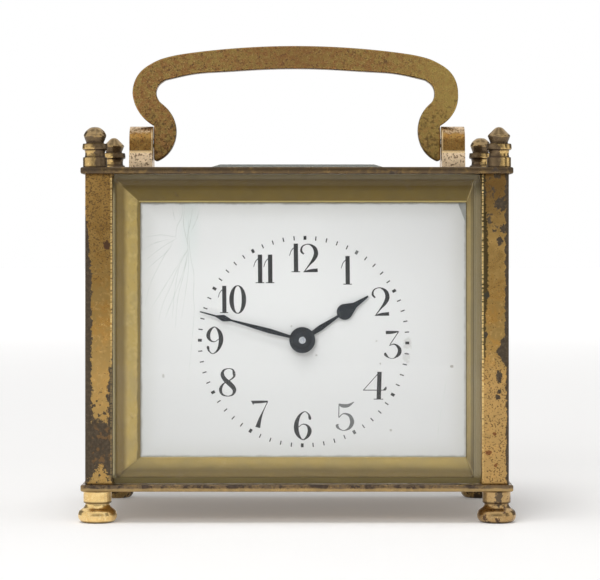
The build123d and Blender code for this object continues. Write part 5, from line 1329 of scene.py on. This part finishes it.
# %% Knob
low, high = span("door_knob")
KNOB = profile([(0, 0), (1.3, 0)], [(1.3, 0), (1.02, 0.45), (1.0, 0.9)],
               [(1.0, 0.9), (1.45, 1.15), (1.85, 1.75), (1.9, 2.25), (1.6, 2.95), (0.9, 3.33), (0, 3.4)])
knob_place = ((low[0] + high[0]) / 2, low[1], (low[2] + high[2]) / 2)
knob = make("turned_knob", lathe(KNOB, knob_place, 48, False), 40)
dress(knob, "door", gilt_foot, ["door_knob"])


# %% Screws
SLOT_SINE, SLOT_FLOOR, THREAD_SHARE, HEAD_EDGE = 0.13, 0.55, 0.42, 0.06


def screw(centre, radius, low, high, thread, angle, axis):
    """A head from its seat `low` to its top `high`, and a thread from the seat back to `thread`. The
    half discs are the arcs whose distance from the slot's middle line is more than half its width."""
    deep = low + SLOT_FLOOR * (high - low)
    skip = math.degrees(math.asin(SLOT_SINE))
    whole = arc((0, 0), radius, 0, 360, 41)[:-1]
    halves = [arc((0, 0), radius, a + skip + angle, a + 180 - skip + angle, 21) for a in (0, 180)]
    parts = [(whole, low, deep)] + [(half, deep, high) for half in halves]
    parts += [(whole * THREAD_SHARE, thread, low)]
    return [plate(outline + centre, *sorted((a, b)), HEAD_EDGE * radius, axis, 2)
            for outline, a, b in parts]


def screw_set(name, rows, axis, node, material):
    """All screws of one node: (centre, radius, seat, top, thread end, slot angle)."""
    shapes = [shape for row in rows for shape in screw(*row, axis)]
    dress(make(name, joined(*shapes), 30), "case", material, [node])


BIG_HEAD, SMALL_HEAD, PILLAR_X, PIVOT_Y = 2.2, 1.1, (-27.35, 29.65), -1.18
front_in, back_in = span("front_movement_plate"), span("back_movement_plate")
PILLARS = [(x, z) for x in PILLAR_X for z in (12.9, 58.45)]
seat, back_seat = front_in[0][1], back_in[1][1]
rows = [(at, BIG_HEAD, seat, seat - 1.0, front_in[1][1] + 3.0, 35 * k)
        for k, at in enumerate(PILLARS)]
rows += [(at, BIG_HEAD, back_seat, back_seat + 1.0, back_in[0][1] - 3.0, 20 + 50 * k)
         for k, at in enumerate(PILLARS)]
screw_set("pillar_screw_set", rows, "y", "pillar_screws", arbor_steel)
seat = float(span("platform")[1][2])
SPOTS = [((x, y), seat) for x in (-17.901, 12.599) for y in (-13.68, 10.32)]
SPOTS += [((-13.651, PIVOT_Y), 72.95), ((12.149, PIVOT_Y), 67.95)]
rows = [(at, SMALL_HEAD, z, z + 0.7, seat - 4.6, 15 + 40 * k) for k, (at, z) in enumerate(SPOTS)]
screw_set("platform_screw_set", rows, "z", "platform_screws", arbor_steel)
low, high = span("base_screws")
rows = [((x, -1.68), BIG_HEAD, low[2] + 1.0, low[2], high[2], 30 + 70 * k)
        for k, x in enumerate(PILLAR_X)]
screw_set("base_screw_set", rows, "z", "base_screws", arbor_steel)

# %% [markdown]
# ## Click spring
# A thin steel blade presses the click into the ratchet. Its foot is held on the plate, and its tip
# goes with the click. The blade is made in short steps along its height.

# %% Click spring
BLADE_FROM, BLADE_TO, BLADE_FOOT, POST_NEAR = 23.2, 29.6, (-5.795, 22.7), 11.32
near, back = 11.62, 12.82
rise = np.linspace(0, 1, 25)
left, right = -5.97 - 0.175 * rise, -5.445 - 0.35 * rise
height = BLADE_FROM + (BLADE_TO - BLADE_FROM) * rise
blade = np.vstack([np.column_stack([right, height]), np.column_stack([left, height])[::-1]])
foot_disc = arc(BLADE_FOOT, 1.6, 0, 360, 49)[:-1]
post = arc(BLADE_FOOT, 0.8, 0, 360, 33)[:-1]
shapes = [plate(blade, near, back, 0.04, "y", 2), plate(foot_disc, near, back, 0.1, "y", 3),
          plate(post, POST_NEAR, near + 0.2, 0.05, "y", 2)]
spring = make("click_spring_blade", joined(*shapes), 30)
spring.data.materials.append(arbor_steel)
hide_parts("click_spring")
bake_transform(spring)
print(f"{spring.name}: {len(spring.data.polygons)} faces between case and click")


# %% [markdown]
# ## Top glass
# The pane over the platform is bevelled and rests on a ledge. Real glass never lies flat on metal:
# a film of air stays between, so the underside is lifted by a few hundredths of a millimetre. Its
# edge isn't polished but ground, and looks grey and frosted: a thin band just inside the edge
# shows that.

# %% Top pane
PANE_BEVEL, BEVEL_RISE, PANE_LIFT = 2.4, 0.8, 0.04
low, high = span("top_glass")
bare, sloped = box_corners(low, high, 0.0), box_corners(low, high, PANE_BEVEL)
levels = ((bare, low[2] + PANE_LIFT), (bare, high[2] - BEVEL_RISE), (sloped, high[2]))
rings = np.vstack([at_height(line, z) for line, z in levels])
pane = (rings, grid_faces(3, 4, ring=True) + [[3, 2, 1, 0], [8, 9, 10, 11]])
dress(make("top_pane", pane, 5), "case", pane_glass, ["top_glass"])

# %% Ground edge
outer, inner = box_corners(low, high, 0.02), box_corners(low, high, 0.08)
floor_z, brim_z = low[2] + 2 * PANE_LIFT, high[2] - BEVEL_RISE - 0.02
levels = ((outer, floor_z), (outer, brim_z), (inner, brim_z), (inner, floor_z))
rings = np.vstack([at_height(line, z) for line, z in levels])
edge_grey = brushed("ground_edge", (132, 138, 130), (120, 126, 118), (2.0, 2.0, 2.0), (0.5, 0.6), 0.0)
dress(make("ground_edge", (rings, grid_faces(4, 4, ring=True, closed=True)), 5), "case", edge_grey)


# %% [markdown]
# ## Jewels
# Balance, lever and escape wheel turn in red stones. Each stone is a small turned dome that sits
# round its pivot, on the cock or on the bridge.

# %% Jewels
STONE = profile(
    [(0.35, 0), (0.85, 0)], [(0.85, 0), (0.85, 0.06)],
    [(0.85, 0.06), (0.7, 0.14), (0.5, 0.12), (0.36, 0.04)], [(0.36, 0.04), (0.35, 0)])
PIVOTS = ((-4.401, 72.95), (1.599, 67.95), (5.599, 67.95))
stones = [lathe(STONE, (x, PIVOT_Y, z), 36) for x, z in PIVOTS]
ruby = brushed("red_stone", (176, 24, 52), (120, 10, 34), (1.5, 1.5, 1.5), (0.06, 0.14), 0.0)
dress(make("cap_jewels", joined(*stones), 40), "case", ruby)


# %% [markdown]
# ## Finishes of the frame's own pieces
# Glasses, dial, door and movement are right as the CAD made them. They only get the finish of
# their material slot.

# %% Materials by slot
SLOT_FINISH |= {
    "gilt_brass": gilt_door, "gilt_mask": gilt_mask, "clear_glass": clear_glass,
    "white_enamel": dial_enamel, "blued_steel": hand_steel}
for part in frame["record"]["subparts"]:
    obj = frame["nodes"][part["node"]]
    material = SLOT_FINISH[part["material_slot"]]
    for index in range(max(len(obj.material_slots), 1)):
        if obj.material_slots:
            obj.material_slots[index].material = material
        else:
            obj.data.materials.append(material)


# %% [markdown]
# ## Floor, light and camera
# A pale floor, a white surround and two broad lamps. A grey card that only reflections see stands
# behind the camera, as the dim room does in a real studio: without it polished brass looks flat.

# %% Floor and card
def sheet(name, corners):
    """One flat quad with its corners in metres."""
    mesh = bpy.data.meshes.new(name)
    mesh.from_pydata(corners, [], [(0, 1, 2, 3)])
    obj = bpy.data.objects.new(name, mesh)
    bpy.context.scene.collection.objects.link(obj)
    return obj


def seen_rays(net):
    """1 for camera, mirror and glass rays, 0 for the rays that light other things."""
    rays = net.node("LightPath").outputs
    return net.most(rays["Is Camera Ray"], rays["Is Glossy Ray"], rays["Is Transmission Ray"])


def glow(name, base, near, far):
    """A matt floor with an added glow that only camera, mirror and glass rays see. The glow grows
    from `near` under the object to `far` at the distance where the lamps no longer reach."""
    f = Finish(name)
    away = f.node("VectorMath", {0: f.place}, operation="LENGTH").outputs["Value"]
    strength = f.times(seen_rays(f), f.slide(away, 150.0, 1500.0, near, far))
    light = f.node("Emission", {"Color": WHITE, "Strength": strength}).outputs[0]
    f.plain(Base_Color=base, Roughness=0.8)
    both = f.node("AddShader", {0: f.surface.outputs[0], 1: light})
    f.join(both.outputs[0], f.out.inputs["Surface"])
    return f.material


def dim_room(name, level):
    """A glow that is `level` in the middle of the card and rises to 1 at its borders, where it
    meets the white floor and surround without a line."""
    f = Finish(name)
    side = f.band(f.gap(f.x), 250.0, 800.0)
    share = f.most(f.band(f.z, 110.0, 0.0), side, f.band(f.z, 300.0, 700.0))
    return f.emit(f.slide(share, 0.0, 1.0, level, 1.0))


FLOOR_COLOUR, FLOOR_NEAR, FLOOR_FAR, FLOOR_HALF = (0.88, 0.87, 0.86, 1.0), 0.17, 0.66, 6
CARD_HALF, CARD_Y, CARD_TOP, CARD_LEVEL = 0.8, -0.75, 0.7, 0.34
n = FLOOR_HALF
floor = sheet("floor", [(-n, -n, 0), (n, -n, 0), (n, n, 0), (-n, n, 0)])
floor.data.materials.append(glow("pale_floor", FLOOR_COLOUR, FLOOR_NEAR, FLOOR_FAR))
card = sheet("grey_card", [(-CARD_HALF, CARD_Y, 0.0), (CARD_HALF, CARD_Y, 0.0),
                           (CARD_HALF, CARD_Y, CARD_TOP), (-CARD_HALF, CARD_Y, CARD_TOP)])
card.data.materials.append(dim_room("dim_room", CARD_LEVEL))
card.visible_camera = card.visible_diffuse = card.visible_shadow = False
print("floor and card placed")

# %% Flags
FLAG_GREY = Finish("flag_grey").emit(0.18)
CEILING_GREY = Finish("ceiling_grey").emit(0.5)
WALL_X, WALL_TOP, CEILING_Y, CEILING_Z = 0.95, 0.9, 0.4, 1.3
WALLS = {"right_flag": (WALL_X, -0.75, -0.25), "right_rear_flag": (WALL_X, 0.25, 2.2),
         "left_rear_flag": (-WALL_X, 0.25, 2.2)}
CEILINGS = {"left_ceiling_flag": (-0.75, -0.12), "right_ceiling_flag": (0.12, 0.75)}
flags = [(name, FLAG_GREY, [(x, y, z) for y, z in ((a, 0), (b, 0), (b, WALL_TOP), (a, WALL_TOP))])
         for name, (x, a, b) in WALLS.items()]
flags += [(name, CEILING_GREY, [(x, y, CEILING_Z) for x, y in (
    (a, -CEILING_Y), (b, -CEILING_Y), (b, CEILING_Y), (a, CEILING_Y))])
    for name, (a, b) in CEILINGS.items()]
for name, grey, corners in flags:
    flag = sheet(name, corners)
    flag.data.materials.append(grey)
    flag.visible_camera = flag.visible_diffuse = False
    flag.visible_shadow = flag.visible_transmission = False
print("flags:", len(flags))

# %% World and lamps
scene = bpy.context.scene
scene.view_settings.view_transform = "Standard"
world = bpy.data.worlds.new("white_room")
scene.world = world
world.use_nodes = True
net = Net(world.node_tree)
AMBIENT = (0.44, 0.44, 0.44, 1.0)
backdrop = world.node_tree.nodes["Background"]
net.join(net.mix(seen_rays(net), AMBIENT, WHITE), backdrop.inputs["Color"])


def lamp(name, place, aim, size, power):
    """A square soft lamp at a place, facing a point."""
    light = bpy.data.lights.new(name, "AREA")
    light.energy, light.size = power, size
    obj = bpy.data.objects.new(name, light)
    obj.location = place
    to = bpy.context.scene.cursor.location.copy()
    to[:] = [b - a for a, b in zip(place, aim)]
    obj.rotation_euler = to.to_track_quat("-Z", "Y").to_euler()
    obj.visible_glossy = False
    scene.collection.objects.link(obj)
    return obj


AIM = (0, 0, 0.05)
lamp("top_lamp", (-0.1, -0.3, 1.0), AIM, 0.5, 4.6)
lamp("front_lamp", (-0.3, -1.05, 0.6), AIM, 0.45, 3.8)
print("world and lamps placed")

# %% Camera
view = bpy.data.cameras.new("camera")
view.sensor_width, view.lens = 36.0, 151.2
view.shift_x, view.shift_y = 0.0, -0.0733
eye = bpy.data.objects.new("camera", view)
eye.location = (0.00065, -0.577, 0.0602)
eye.rotation_euler = (math.pi / 2, 0, 0)
scene.collection.objects.link(eye)
scene.camera = eye
print("camera placed")
